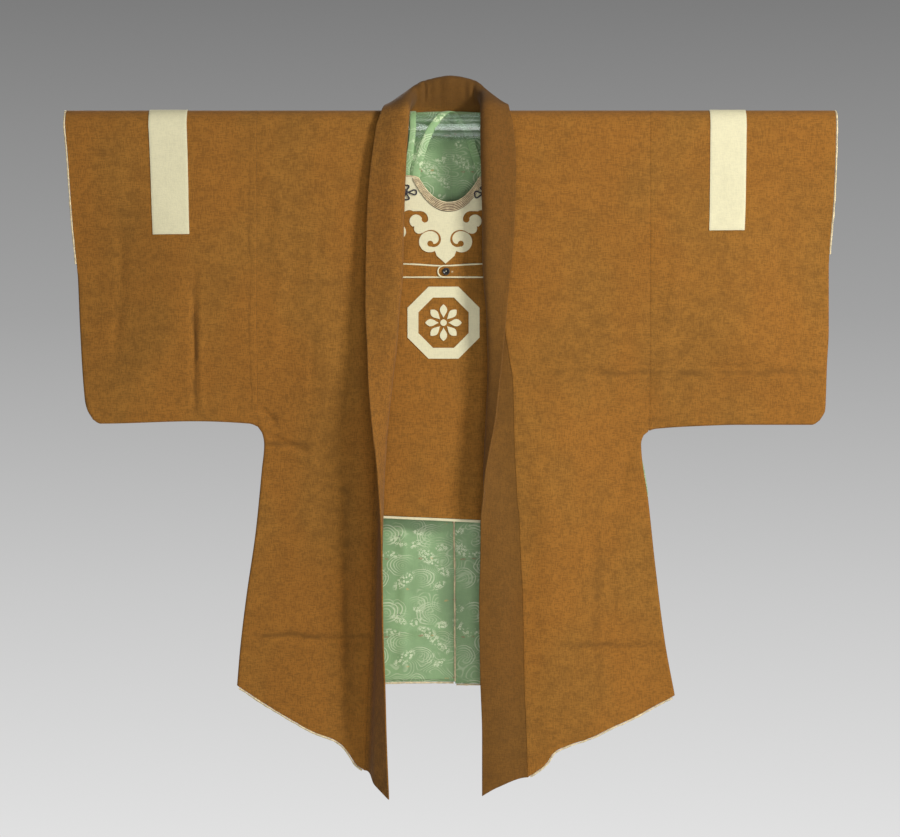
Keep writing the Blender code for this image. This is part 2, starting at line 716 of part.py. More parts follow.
def build_hem_piping(side, label):
    """Piping along the slanting front hem and along the back hem."""
    away = side.sign * (GAP + PIPING_RADIUS)
    front = []
    for column in FRONT_HEM_PARTS:
        x, z = front_spot(side, 1.0, column)
        front.append((x, front_y(side, x, z, -WOOL / 2), z))
    tube("front_hem_piping_" + label, beside(front, away), PIPING_RADIUS, "tan")
    back = []
    for column, inward in BACK_HEM_PARTS:
        x, z = back_spot(side, 1.0, column, inward)
        back.append((x, back_y(side, x, z, -WOOL / 2), z))
    tube("back_hem_piping_" + label, beside(back, away), PIPING_RADIUS, "tan")


def build_collar():
    shell("collar", collar_lattice(), BAND_WALL, "wool", 0.0)


def build_lining(side, label):
    shell("lining_" + label, lining_lattice(side), SILK, "silk", -1.0, side.sign > 0)


def build_vent_piping():
    """Piping up the open edge of the left back lining, in front of the centre seam."""
    inset = WOOL + LINING_GAP + SILK + GAP + PIPING_RADIUS
    points = []
    for part in VENT_PARTS:
        z = mix(VENT_TOP_Z, BACK_HEM[2].z + GAP, part)
        x = read(CENTRE_SEAM, "z", "x", z)
        points.append((x, back_y(LEFT, x, z, -inset), z))
    tube("vent_piping", points, PIPING_RADIUS, "tan")


def neckline(half_width, depth):
    """The scooped neck of the chest cloth, from left to right."""
    points = []
    for step in range(NECKLINE_STEPS + 1):
        away = mix(-half_width, half_width, step / NECKLINE_STEPS)
        drop = depth * math.cos(math.pi / 2 * away / half_width)
        points.append((NECKLINE_X + away, NECKLINE_TOP_Z - drop))
    return points


def bib_bottom_z(x):
    """The bottom edge hangs a little lower on the right."""
    return BIB_BOTTOM_Z + BIB_BOTTOM_SLOPE * (x - BIB_CENTRE_X)


def placed(half, centre_x, sign):
    """Points of a half outline on one side of a centre line."""
    return [(centre_x + sign * spot.x, spot.z) for spot in half]


def lobes(table):
    """Points along the round lobes of a cloud, as a half outline."""
    points = []
    for lobe in table:
        places = arc(lobe.away, lobe.z, lobe.radius, lobe.start, lobe.end, lobe.steps)
        points += [Spot(x, z) for x, z in places]
    return points


def bib_side(sign):
    """A side edge of the chest cloth, from the bottom up to the strap end."""
    points = placed(BIB_SIDE, BIB_CENTRE_X, sign)
    points[0] = (points[0][0], bib_bottom_z(points[0][0]))
    return points


def shoulder(sign):
    """The round end of a shoulder of the chest cloth, from its outer side to the neckline."""
    inner_x = NECKLINE_X + sign * NECKLINE_HALF
    outer_x = BIB_CENTRE_X + sign * SHOULDER_REACH
    middle, half = (inner_x + outer_x) / 2, abs(outer_x - inner_x) / 2
    points = []
    for turn in SHOULDER_DEGREES:
        angle = math.radians(turn)
        z = NECKLINE_TOP_Z - SHOULDER_DROP + SHOULDER_RISE * math.sin(angle)
        points.append((middle + sign * half * math.cos(angle), z))
    return points


def build_bib():
    """The wool chest cloth with its cloud-shaped yoke and quilted neck band."""
    right, left = bib_side(1), bib_side(-1)
    scoop = neckline(NECKLINE_HALF, NECKLINE_DEPTH)
    outline = left[:1] + right + shoulder(1) + list(reversed(scoop)) + list(reversed(shoulder(-1)))
    outline += list(reversed(left[1:]))
    plate("bib_panel", [outline], BIB_FRONT_Y, BIB_WALL, "wool")

    half = YOKE_TIP + lobes(YOKE_LOBES) + YOKE_WING
    inside_scoop = neckline(NECKLINE_HALF + PATCH_INSET, NECKLINE_DEPTH + PATCH_INSET)
    tops = [(NECKLINE_X + sign * (NECKLINE_HALF + YOKE_TOP_REACH), NECKLINE_TOP_Z + PATCH_INSET)
            for sign in (1, -1)]
    cloud = placed(half, YOKE_CENTRE_X, 1) + tops[:1] + list(reversed(inside_scoop)) + tops[1:]
    cloud += list(reversed(placed(half[1:], YOKE_CENTRE_X, -1)))
    yoke_front = BIB_FRONT_Y - GAP - PATCH_WALL
    plate("bib_yoke", [cloud], yoke_front, PATCH_WALL, "cream")

    band = neckline(NECKLINE_BAND_HALF, NECKLINE_BAND_DEPTH) + list(reversed(inside_scoop))
    plate("bib_neck_band", [band], yoke_front - GAP - PATCH_WALL, PATCH_WALL, "tan")

    for sign, label in ((-1, "left"), (1, "right")):
        scroll = placed(lobes(CLOUD_LOBES) + CLOUD_WING, YOKE_CENTRE_X, sign)
        plate("bib_cloud_" + label, [scroll], yoke_front, PATCH_WALL, "cream")

    binding_low = [(x, bib_bottom_z(x) - GAP) for x in (left[0][0], right[0][0])]
    binding = binding_low + [(x, z - BINDING_WIDTH) for x, z in reversed(binding_low)]
    plate("bib_binding", [binding], BIB_FRONT_Y - GAP, BIB_WALL + 2 * GAP, "cream")


def build_medallion():
    """A plain eight-sided frame round an eight-leaved rosette."""
    front = BIB_FRONT_Y - GAP - PATCH_WALL
    half_side = 180.0 / FRAME_SIDES
    rings = [arc(BIB_CENTRE_X, MEDALLION_Z, radius, half_side, 360.0 - half_side, FRAME_SIDES - 1)
             for radius in (FRAME_RADIUS, FRAME_OPENING)]
    plate("medallion_frame", rings, front, PATCH_WALL, "cream")
    star = []
    for point in range(2 * LEAVES):
        radius = VALLEY_RADIUS if point % 2 else LEAF_RADIUS
        turn = point * 180.0 / LEAVES
        ends = (turn - LEAF_HALF_DEGREES, turn + LEAF_HALF_DEGREES)
        star += arc(BIB_CENTRE_X, MEDALLION_Z, radius, *ends, 1)
    hole = arc(BIB_CENTRE_X, MEDALLION_Z, ROSETTE_HOLE, 0.0, 360.0 - 360.0 / HOLE_SIDES, HOLE_SIDES - 1)
    plate("medallion_rosette", [star, hole], front, PATCH_WALL, "cream")


def belt_top(x):
    return BELT_TOP_Z - BELT_RISE * math.exp(-((x - BIB_CENTRE_X) / BELT_RISE_WIDTH) ** 2)


def belt_outline(left_x, right_x, shrink, round_left):
    """The belt's outline between two places, drawn in by shrink, its left end round if asked."""
    low = BELT_LOW_Z + shrink
    places = [mix(left_x, right_x, part) for part in BELT_PARTS]
    turn = []
    if round_left:
        height = belt_top(left_x) - shrink - low
        middle_x = left_x + height / 2 + shrink
        turn = arc(middle_x, low + height / 2, height / 2, 90.0, 270.0, BELT_TURN_STEPS)
        places = [x for x in places if x > middle_x + BELT_TURN_CLEAR]
    else:
        places[0] += shrink
    places[-1] = right_x - shrink
    return turn + [(x, low) for x in places] + [(x, belt_top(x) - shrink) for x in reversed(places)]


def build_belt():
    """The belt across the chest cloth: its right end is round and buttons over the left one."""
    left_front = BIB_FRONT_Y - GAP - BELT_WALL
    right_front = left_front - GAP - BELT_WALL
    pieces = (
        ("left", BIB_CENTRE_X - BELT_REACH, BELT_LEFT_END, left_front, False),
        ("right", BELT_RIGHT_END, BIB_CENTRE_X + BELT_REACH, right_front, True),
    )
    for label, start, end, front, rounded in pieces:
        face = belt_outline(start, end, BELT_BINDING + GAP, rounded)
        plate("belt_" + label, [face], front, BELT_WALL, "wool")
        ring = [belt_outline(start, end, shrink, rounded) for shrink in (0.0, BELT_BINDING)]
        plate("belt_binding_" + label, ring, front, BELT_WALL, "cream")
    rim = arc(BUTTON_X, BUTTON_Z, BUTTON_RADIUS, 0.0, 360.0 - 360.0 / BUTTON_SIDES, BUTTON_SIDES - 1)
    plate("button", [rim], right_front - GAP - BUTTON_HEIGHT, BUTTON_HEIGHT, "black")


def build_knots():
    """Black cord knots on the shoulders of the chest cloth, each a ring of loops."""
    for knot in KNOTS:
        y = BIB_FRONT_Y - knot.layers * (GAP + PATCH_WALL) - GAP - KNOT_CORD
        points = []
        for step in range(KNOT_STEPS):
            angle = 2 * math.pi * step / KNOT_STEPS
            radius = KNOT_RADIUS + KNOT_SWING * math.cos(KNOT_LOOPS * angle)
            x = knot.x + radius * math.cos(angle + knot.turn)
            points.append((x, y, knot.z + radius * math.sin(angle + knot.turn)))
        tube("cord_knot_" + knot.label, points, KNOT_CORD, "black", cyclic=True, sides=0)


def strap_lattice(strap):
    """A flat strap along its path, its width across the tube."""
    path = list(strap.rise)
    for step in range(strap.steps + 1):
        part = step / strap.steps
        angle = math.radians(mix(*strap.degrees, part))
        x = mix(*strap.turn_x, part)
        path.append((x, STRAP_RADIUS * math.cos(angle), STRAP_RADIUS * math.sin(angle)))
    points = {}
    for row, (x, y, z) in enumerate(path + strap.fall):
        points[row, 0] = (x - strap.width / 2, y, z)
        points[row, 1] = (x + strap.width / 2, y, z)
    return points


def build_straps():
    """The neck strap over the tube, and the narrow loop beside it."""
    shell("neck_strap", strap_lattice(NECK_STRAP), STRAP_WALL, "silk", 0.0)
    shell("strap_loop", strap_lattice(STRAP_LOOP), STRAP_WALL, "silk", 0.0)


def clear_scene():
    for item in list(bpy.data.objects):
        bpy.data.objects.remove(item, do_unlink=True)
    bpy.context.scene.collection.children.link(bpy.data.collections.new(COLLECTION))


def main():
    clear_scene()
    build_rod()
    for side, label in ((LEFT, "left"), (RIGHT, "right")):
        build_body(side, label)
        build_sleeve(side, label)
        build_stripe(side, label)
        build_cuff_piping(side, label)
        build_hem_piping(side, label)
        build_lining(side, label)
    build_collar()
    build_vent_piping()
    build_bib()
    build_medallion()
    build_belt()
    build_knots()
    build_straps()


main()
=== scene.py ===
import math
from collections import namedtuple

import bmesh
import bpy
from bpy.props import FloatProperty, FloatVectorProperty, PointerProperty
from mathutils import Matrix, Vector, kdtree, noise


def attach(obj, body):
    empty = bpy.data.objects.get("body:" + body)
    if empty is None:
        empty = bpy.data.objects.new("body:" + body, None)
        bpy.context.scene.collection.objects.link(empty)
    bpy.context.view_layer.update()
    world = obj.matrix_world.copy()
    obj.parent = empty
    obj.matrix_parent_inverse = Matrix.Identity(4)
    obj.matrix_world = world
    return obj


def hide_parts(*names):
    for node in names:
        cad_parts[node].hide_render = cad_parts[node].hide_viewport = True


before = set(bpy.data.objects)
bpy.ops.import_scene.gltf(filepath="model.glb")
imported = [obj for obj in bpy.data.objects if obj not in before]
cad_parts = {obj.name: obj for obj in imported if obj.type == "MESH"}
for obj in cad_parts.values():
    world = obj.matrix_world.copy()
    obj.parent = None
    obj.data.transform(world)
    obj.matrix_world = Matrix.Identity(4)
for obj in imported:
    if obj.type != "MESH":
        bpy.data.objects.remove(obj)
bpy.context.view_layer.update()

bl_info = {
    "name": "Fire Jacket",
    "version": (1, 0, 0),
    "blender": (4, 5, 0),
    "location": "View3D > Sidebar > Jacket",
    "description": "Wool fire jacket with a silk lining and its chest cloth, hanging on a clear tube",
    "category": "Object",
}

MM = 0.001
BODY = "root"

Spot = namedtuple("Spot", "x z")
Band = namedtuple("Band", "z seam_x roll_x roll_y edge_x edge_y")
Neck = namedtuple("Neck", "seam_x lean roll_x roll_y roll_z edge_x edge_y edge_z")
Fold = namedtuple("Fold", "top_x top_z low_x low_z width height")
Crease = namedtuple("Crease", "width height points")
Side = namedtuple(
    "Side", "sign armhole cuff corner underarm flank hem hem_end_z tip_z band neck folds stripe")
Lobe = namedtuple("Lobe", "away z radius start end")
Knot = namedtuple("Knot", "label x z turn layers")
Strap = namedtuple("Strap", "width rise turn_x degrees fall")
Whirl = namedtuple("Whirl", "x z wide high rings facing light")
Foam = namedtuple("Foam", "x z long wide turn")
Motif = namedtuple("Motif", "x z long wide hue")
CreaseShade = namedtuple("CreaseShade", "level place start end width strength")

# Walls and clearances, in millimetres as every size below
GAP = 0.3
SEAM_GAP = 0.1
BAND_TUCK = 1.0
BAND_DROP = 1.2
SILK = 0.8
STRIPE_WALL = 0.9
PIPING_RADIUS = 1.5

# The clear tube
ROD_RADIUS = 25.0
ROD_BORE = 22.0
ROD_HALF_LENGTH = 635.0
ROD_SIDES = 128
ROD_RIM = 0.4

# How the doubled cloth hangs over the tube and turns at a sewn edge
FOLD_RADIUS = 27.9
FOLD_STEPS = 24
EDGE_LIFT = 0.9
EDGE_ROUND = 4.0
EDGE_OFFSETS = (0.0, 0.4, 1.2, 2.4, 4.0)
SPREAD = 190.0
NARROWING = 0.006
FOLD_END = 4.0

# The back neck
NECK_FOLD_STEP = 15
NECK_TABLE_STEP = 5
NECK_TURNS = tuple(7.5 * step for step in range(1, 13))
NECK_TABLE_TURNS = (30.0, 55.0, 75.0, 90.0)
NECK_CENTRE_X = -2.0
NECK_BACK_Y = 31.0
NECK_TOP_Z = 30.0
NECK_EASE = 4.0
NECK_EASE_LENGTH = 120.0
NECK_REACH = 64.0
NECK_REACH_EASE = 32.0

LINING_GAP = 0.9
LINING_RISE = 4.0
LINING_START = 0.58
VENT_TOP_Z = -662.0
CUFF_PIPING_END = 0.93

# How finely each cloth is drawn
BODY_ROWS = 190
BODY_COLUMNS = 52
SLEEVE_ROWS = 96
SLEEVE_COLUMNS = 62
BAND_STEPS = 9
NECK_PARTS = 6
LINING_COLUMNS = 22

LEFT = Side(
    sign=-1,
    armhole=-326.0,
    cuff=[Spot(-649, 0), Spot(-644, -56), Spot(-637, -175), Spot(-631, -250)],
    corner=[Spot(-631, -250), Spot(-627, -343), Spot(-619, -462), Spot(-615, -479), Spot(-605, -496)],
    underarm=[Spot(-605, -496), Spot(-593, -503), Spot(-432, -499), Spot(-339, -503), Spot(-326, -508)],
    flank=[Spot(-326, -508), Spot(-318, -520), Spot(-315, -538), Spot(-319, -581), Spot(-329, -682),
           Spot(-346, -801), Spot(-356, -886), Spot(-361, -946)],
    hem=[Spot(-361, -946), Spot(-315, -976), Spot(-271, -1002), Spot(-229, -1024), Spot(-197, -1036),
         Spot(-178, -1051), Spot(-160, -1078), Spot(-146, -1088)],
    hem_end_z=-1088.0,
    tip_z=-1130.0,
    band=[
        Band(0, -82, -71, -42, -124, -38),
        Band(-50, -84, -75, -44, -131, -41),
        Band(-95, -87, -77, -44, -136, -43),
        Band(-155, -90, -79, -44, -140, -45),
        Band(-205, -92, -80, -44, -141, -47),
        Band(-255, -94, -81, -44, -142, -49),
        Band(-305, -98, -86, -44, -142, -53),
        Band(-375, -107, -91, -45, -139, -60),
        Band(-430, -117, -97, -48, -137, -67),
        Band(-520, -125, -106, -52, -129, -79),
        Band(-565, -127, -109, -53, -123, -84),
        Band(-600, -128, -111, -54, -120, -86),
        Band(-672, -130, -114, -55, -115, -88),
        Band(-735, -131, -116, -55, -113.5, -88),
        Band(-845, -133, -119, -55, -112, -88),
        Band(-938, -138, -122, -54, -108.5, -86),
        Band(-1030, -142, -124, -54, -106, -84),
        Band(-1130, -146, -126, -53, -102, -82),
    ],
    neck=[
        Neck(-82.0, 0, -71, -42, 2, -124, -38, 0),
        Neck(-81.5, 0, -70, -40, 14, -120, -37, 11),
        Neck(-81.0, 0, -69.5, -34, 28, -116, -31, 23),
        Neck(-80.0, 0, -68, -22, 41, -112.5, -20, 32),
        Neck(-79.0, 20, -66, -8, 51, -108, -6, 37),
        Neck(-76.0, 40, -63, 6, 59, -101, 10, 39),
        Neck(None, 60, -57, 17, 68, -90, 26, 36),
        Neck(None, 80, -45, 26, 79, -68, 38, 33),
        Neck(None, 90, -25, 31, 86, -36, 44, 31),
        Neck(None, 90, -2, 33, 90, -2, 46, 30),
    ],
    folds=[
        Fold(-176, -590, -174, -1040, 15, -3.0),
        Fold(-150, -640, -150, -1080, 16, 3.0),
        Fold(-222, -150, -236, -480, 26, 2.0),
    ],
    stripe=(-508.5, -444.0, -186.5),
)
RIGHT = Side(
    sign=1,
    armhole=338.0,
    cuff=[Spot(651, 0), Spot(648, -124), Spot(642, -232)],
    corner=[Spot(642, -232), Spot(642, -344), Spot(639, -404), Spot(637, -463), Spot(636, -480),
            Spot(627, -497)],
    underarm=[Spot(627, -497), Spot(614, -505), Spot(491, -505), Spot(424, -507), Spot(347, -512),
              Spot(338, -515)],
    flank=[Spot(338, -515), Spot(328, -523), Spot(324, -537), Spot(325, -556), Spot(336, -632),
           Spot(347, -734), Spot(364, -870), Spot(381, -963)],
    hem=[Spot(381, -963), Spot(291, -1009), Spot(276, -1015), Spot(243, -1031), Spot(178, -1056),
         Spot(162, -1078), Spot(132, -1100)],
    hem_end_z=-1100.0,
    tip_z=-1131.0,
    band=[
        Band(0, 65, 53, -42, 106, -38),
        Band(-42, 65, 53, -44, 110, -41),
        Band(-80, 66, 54, -44, 111, -43),
        Band(-118, 67, 55, -44, 110, -44),
        Band(-168, 69, 56, -44, 108.5, -45),
        Band(-216, 71, 56, -44, 105, -46),
        Band(-265, 76, 58, -43, 100, -47),
        Band(-316, 86, 62, -42, 95, -50),
        Band(-360, 95, 63.5, -41, 91, -53),
        Band(-403, 102, 64.5, -40, 87, -55),
        Band(-430, 106, 64, -40, 84, -56),
        Band(-500, 108, 61, -42, 76, -60),
        Band(-547, 109, 59, -44, 67, -60),
        Band(-583, 111, 58, -45, 60.5, -58),
        Band(-625, 113, 61, -42, 55.5, -50),
        Band(-666, 117, 70, -36, 51.5, -42),
        Band(-722, 119, 76, -33, 51, -37),
        Band(-805, 123, 78, -31, 49, -33),
        Band(-922, 125, 78, -29, 50.5, -30),
        Band(-1030, 129, 80, -28, 54, -28),
        Band(-1131, 132, 82, -27, 54, -27),
    ],
    neck=[
        Neck(65.0, 0, 53, -42, 2, 106, -38, 0),
        Neck(65.0, 0, 53, -40, 14, 103.5, -37, 11),
        Neck(65.5, 0, 53, -34, 28, 101, -31, 23),
        Neck(66.0, 0, 53, -22, 41, 99.5, -20, 32),
        Neck(66.0, 20, 53, -8, 51, 98, -6, 37),
        Neck(66.0, 40, 52.5, 6, 59, 93, 10, 39),
        Neck(None, 60, 49, 17, 68, 82, 26, 36),
        Neck(None, 80, 40, 26, 80, 62, 38, 33),
        Neck(None, 90, 22, 31, 87, 32, 44, 31),
        Neck(None, 90, -2, 33, 90, -2, 46, 30),
    ],
    folds=[
        Fold(161, -520, 173, -1060, 22, 2.5),
        Fold(250, -600, 262, -1000, 30, -2.0),
    ],
    stripe=(500.0, 439.0, -180.0),
)
SIDES = {"left": LEFT, "right": RIGHT}
BACK_HEM = [Spot(-361, -946), Spot(-107, -943), Spot(9, -939), Spot(52, -944), Spot(381, -963)]
CENTRE_SEAM = [Spot(2, 40), Spot(9, -950)]

# Creases of the fronts and of the hidden back: half width, height and the line each follows
FRONT_CREASES = [
    Crease(5.0, -2.2, [(-430, -246), (-432, -380), (-431, -500)]),
    Crease(7.0, 1.1, [(-421, -300), (-423, -400), (-424, -497)]),
    Crease(6.0, -0.9, [(-218, -149), (-229, -330), (-237, -483)]),
    Crease(5.0, -2.4, [(-322, -478), (-310, -487), (-294, -501)]),
    Crease(6.0, -2.6, [(-314, -524), (-280, -536), (-237, -551)]),
    Crease(8.0, 1.4, [(-308, -543), (-270, -552), (-225, -566)]),
    Crease(8.0, -1.7, [(-347, -854), (-250, -862), (-134, -875)]),
    Crease(7.0, 1.1, [(-345, -869), (-250, -878), (-150, -890)]),
    Crease(9.0, -2.2, [(-178, -588), (-176, -800), (-173, -1040)]),
    Crease(6.0, -1.7, [(110, -417), (230, -413), (380, -405), (520, -408), (642, -415)]),
    Crease(7.0, 1.1, [(120, -431), (300, -424), (480, -420), (636, -428)]),
    Crease(7.0, 1.3, [(181, -872), (270, -870), (364, -872)]),
    Crease(8.0, -1.0, [(176, -886), (270, -884), (366, -888)]),
    Crease(10.0, 1.3, [(388, -190), (372, -330), (345, -505)]),
    Crease(9.0, -1.2, [(-560, -150), (-556, -280), (-570, -400)]),
    Crease(8.0, -1.2, [(338, -520), (300, -560), (286, -640)]),
    Crease(12.0, 1.4, [(-290, -100), (-284, -240), (-300, -390)]),
    Crease(9.0, -0.9, [(560, -60), (556, -220), (574, -380)]),
]
BACK_CREASES = [
    Crease(8.0, -1.8, [(-420, -180), (-428, -330), (-424, -497)]),
    Crease(9.0, 1.6, [(-330, -470), (-280, -560), (-262, -700)]),
    Crease(7.0, -1.5, [(-352, -846), (-200, -858), (-30, -852), (160, -860), (372, -850)]),
    Crease(8.0, 1.0, [(-350, -862), (-180, -875), (20, -868), (372, -868)]),
    Crease(12.0, 2.2, [(-150, -260), (-158, -560), (-170, -930)]),
    Crease(14.0, -2.4, [(90, -180), (104, -500), (122, -940)]),
    Crease(7.0, -1.5, [(350, -470), (300, -540), (270, -640)]),
    Crease(6.0, -1.4, [(150, -402), (330, -410), (500, -404), (636, -412)]),
    Crease(9.0, 1.4, [(430, -120), (446, -300), (440, -500)]),
    Crease(11.0, 1.8, [(-60, -120), (-52, -420), (-44, -700)]),
    Crease(10.0, -1.7, [(250, -380), (262, -640), (280, -930)]),
]
LINING_CREASES = [
    Crease(9.0, 3.0, [(-80, -640), (-79, -800), (-82, -945)]),
    Crease(7.0, -1.6, [(-40, -120), (-36, -300), (-30, -520)]),
    Crease(6.0, 1.2, [(30, -60), (26, -160), (34, -300)]),
    Crease(8.0, -1.8, [(-28, -650), (-26, -800), (-20, -945)]),
    Crease(6.0, -1.0, [(-100, -760), (-40, -752), (9, -764)]),
    Crease(5.0, 0.9, [(-70, -866), (-20, -872), (9, -868)]),
]
# Painted shade along the old fold lines, darkening the creases: level or upright, its height or place across,
# where it starts and ends
CREASE_SHADE_LINES = [
    CreaseShade(True, -416, 100, 650, 8.0, 0.48), CreaseShade(False, -431, -500, -250, 6.0, 0.6),
    CreaseShade(True, -536, -335, -215, 7.0, 0.6), CreaseShade(True, -862, -352, -110, 7.0, 0.6),
    CreaseShade(True, -874, 160, 372, 8.0, 0.45), CreaseShade(False, -176, -1060, -560, 10.0, 0.5),
    CreaseShade(False, -337, -500, 0, 3.0, 0.35), CreaseShade(True, -493, -345, -280, 8.0, 0.6),
    CreaseShade(True, -500, 320, 400, 9.0, 0.5), CreaseShade(False, 250, -990, -600, 14.0, 0.3),
]
CREASE_STRENGTH = 2.0
CREASE_REACH = 3.0
CREASE_END = 5.0
CREASE_PATCH = 45.0
SEWN_CALM = 26.0
TUBE_CALM = 45.0
# Painted crease shade: how far it fades in at each end and how far its line wavers
CREASE_SHADE_FADE = 40.0
CREASE_SHADE_WAVER = 16.0
COLLAR_SHADE = 0.85
# Pinched folds of the collar behind the neck: place, half width and depth
PINCHES = [(-43.0, 3.2, 5.5), (-57.0, 4.0, 4.5), (-33.0, 3.0, 2.6), (-16.0, 5.0, 1.8), (8.0, 6.0, 1.2),
           (26.0, 4.0, 2.4), (40.0, 3.5, 5.5)]
# Swell of the wool: length across and down, height
WANDER = ((150.0, 210.0, 2.6), (62.0, 90.0, 1.2), (21.0, 27.0, 0.3))

# The chest cloth: half outlines are distances from its centre line and heights
BIB_CENTRE_X = -11.0
YOKE_CENTRE_X = -7.5
BIB_FRONT_Y = -8.0
BIB_WALL = 3.0
PATCH_WALL = 1.0
PATCH_ROUND = 0.25
NECKLINE_X = -2.0
NECKLINE_HALF = 51.0
NECKLINE_TOP_Z = -88.0
NECKLINE_DEPTH = 41.0
SCOOP_POWER = 2.2
QUILT_HALF = (52.5, 62.0)
QUILT_DEPTH = (42.5, 56.0)
QUILT_CORDS = 5
QUILT_CORD = 0.75
BIB_BOTTOM_Z = -663.0
BIB_BOTTOM_SLOPE = -0.045
BIB_SIDE = [Spot(150.0, BIB_BOTTOM_Z), Spot(146.0, -420.0), Spot(138.0, -262.0), Spot(120.0, -205.0),
            Spot(97.0, -160.0), Spot(88.0, -118.0), Spot(86.0, -88.0)]
SHOULDER_DROP = 4.0
SHOULDER_RISE = 8.0
BINDING_WIDTH = 4.5
# Round lobes of the yoke and the side clouds, in degrees from outwards towards up; a falling turn cuts in
YOKE_REACH = 83.0
YOKE_TIP = [(0.0, -232.0), (8.0, -225.0), (15.0, -219.0)]
YOKE_LOBES = [
    Lobe(27.0, -195.0, 18.0, -120.0, 50.0), Lobe(44.5, -172.5, 9.0, -125.0, 25.0),
    Lobe(50.0, -160.0, 11.0, -60.0, 150.0), Lobe(35.0, -157.0, 5.5, 25.0, -180.0),
    Lobe(43.5, -157.0, 14.0, 180.0, 95.0), Lobe(61.0, -152.0, 10.5, 125.0, 70.0),
]
YOKE_WING = [(YOKE_REACH, -148.5)]
CLOUD_LOBES = [Lobe(80.0, -178.0, 13.0, 100.0, 260.0), Lobe(88.0, -196.0, 12.0, 200.0, 270.0)]
CLOUD_WING = [(98.0, -208.0), (100.0, -190.0), (96.0, -168.0)]
LOBE_STEP = 8.0
# The scroll inlaid in each lower lobe: a spiral that widens as it closes on its round end
SCROLL_CENTRE = (22.0, -193.0)
SCROLL_TURN = (36.0, 306.0)
SCROLL_RADII = (20.5, 6.5)
SCROLL_CLOSING = 0.8
SCROLL_WIDTHS = (0.5, 3.2)
SCROLL_END_RADIUS = 5.0
SCROLL_STEPS = 40
INLAY_WALL = 0.2

MEDALLION_Z = -332.0
FRAME_RADIUS = 66.0
FRAME_OPENING = 46.0
FRAME_SIDES = 8
LEAVES = 8
LEAF_RADIUS = 31.0
LEAF_START = 8.0
LEAF_HALF_WIDTH = 6.2
ROSETTE_EYE = 5.5

BELT_WALL = 1.5
BELT_REACH = 146.0
BELT_TOP_Z = -231.0
BELT_LOW_Z = -256.5
BELT_RISE = 3.5
BELT_RISE_WIDTH = 40.0
BELT_LEFT_END = 16.0
BELT_RIGHT_END = -22.0
BELT_PIPING = 1.5
BUTTON_RADIUS = 6.3
BUTTON_X = -6.5
BUTTON_Z = -245.5
BUTTON_SIDES = 40
# Half section of the button: radius and depth, from the middle of its face to its back
BUTTON_PROFILE = [(0.0, -2.2), (1.8, -2.4), (3.2, -2.9), (4.3, -3.7), (5.2, -3.9), (6.0, -3.3),
                  (BUTTON_RADIUS, -2.2), (6.1, -1.0), (5.0, -0.4), (0.0, -0.3)]
HOLE_AWAY = 9.0
HOLE_WIDTH = 2.6
HOLE_STITCHES = 6

KNOTS = [Knot("left", -74.0, -111.5, 0.0, 1), Knot("right", 58.0, -113.5, 0.15, 2)]
KNOT_CORD = 1.3
# Loops of a knot, length and half width, and the wraps of its middle
KNOT_LOOPS = ((17.5, 4.6), (12.0, 5.6), (16.5, 6.4), (12.5, 5.8))
KNOT_WRAPS = 3
WRAP_LONG = 2.6
WRAP_WIDE = 1.4

STRAP_WALL = 1.0
STRAP_RADIUS = 26.0
STRAP_BEHIND_Y = BIB_FRONT_Y + BIB_WALL + GAP + STRAP_WALL / 2
STRAP_STACKED_Y = STRAP_BEHIND_Y + STRAP_WALL + GAP
NECK_STRAP = Strap(
    width=14.0,
    rise=[(60.0, STRAP_BEHIND_Y, -108.0), (57.0, STRAP_BEHIND_Y, -90.0), (45.0, 11.0, -55.0)],
    turn_x=(31.0, -34.0),
    degrees=(-20.0, 200.0),
    fall=[(-46.0, -17.5, -38.0), (-57.0, STRAP_BEHIND_Y, -78.0), (-59.0, STRAP_BEHIND_Y, -106.0)],
)
STRAP_LOOP = Strap(
    width=10.0,
    rise=[(-73.0, STRAP_STACKED_Y, -108.0), (-73.0, STRAP_STACKED_Y, -88.0), (-67.0, 14.0, -45.0)],
    turn_x=(-62.5, -62.5),
    degrees=(-15.0, 195.0),
    fall=[(-67.0, -16.0, -42.0), (-73.0, STRAP_BEHIND_Y, -77.0), (-73.0, STRAP_BEHIND_Y, -106.0)],
)

# Woven pattern of the silk: one repeat, in millimetres
PATTERN_WIDTH = 148.0
PATTERN_HEIGHT = 132.0
WHIRLS = [
    Whirl(40, 100, 22, 19, 4.0, 1, 1.0),
    Whirl(58, 105, 15, 17, 2.5, 1, 0.9),
    Whirl(68, 48, 29, 19, 6.0, -1, 0.75),
    Whirl(98, 26, 27, 18, 5.5, 1, 0.8),
    Whirl(22, 26, 25, 21, 5.5, 1, 0.75),
    Whirl(118, 98, 29, 21, 6.0, -1, 0.7),
    Whirl(90, 114, 21, 16, 4.5, 1, 0.65),
    Whirl(134, 56, 20, 15, 4.5, 1, 0.6),
]
FOAMS = [
    Foam(60, 88, 20, 8, -28), Foam(20, 74, 24, 10, -40), Foam(52, 66, 17, 7, -12),
    Foam(90, 84, 15, 7, 22), Foam(112, 62, 26, 13, -36), Foam(136, 40, 18, 8, -42),
    Foam(70, 22, 26, 10, 38), Foam(130, 14, 14, 7, 30), Foam(16, 106, 11, 7, 24),
    Foam(134, 78, 14, 8, 10), Foam(94, 104, 12, 6, -20),
]
MOTIFS = [
    Motif(22, 58, 4.5, 1.8, "rust"), Motif(40, 59, 4.0, 1.8, "rust"), Motif(98, 60, 4.5, 2.0, "rust"),
    Motif(118, 61, 3.5, 1.6, "gold"), Motif(76, 8, 4.5, 1.8, "gold"), Motif(62, 97, 4.0, 1.5, "ink"),
    Motif(142, 120, 4.0, 1.6, "gold"), Motif(8, 122, 3.6, 1.4, "rust"),
]

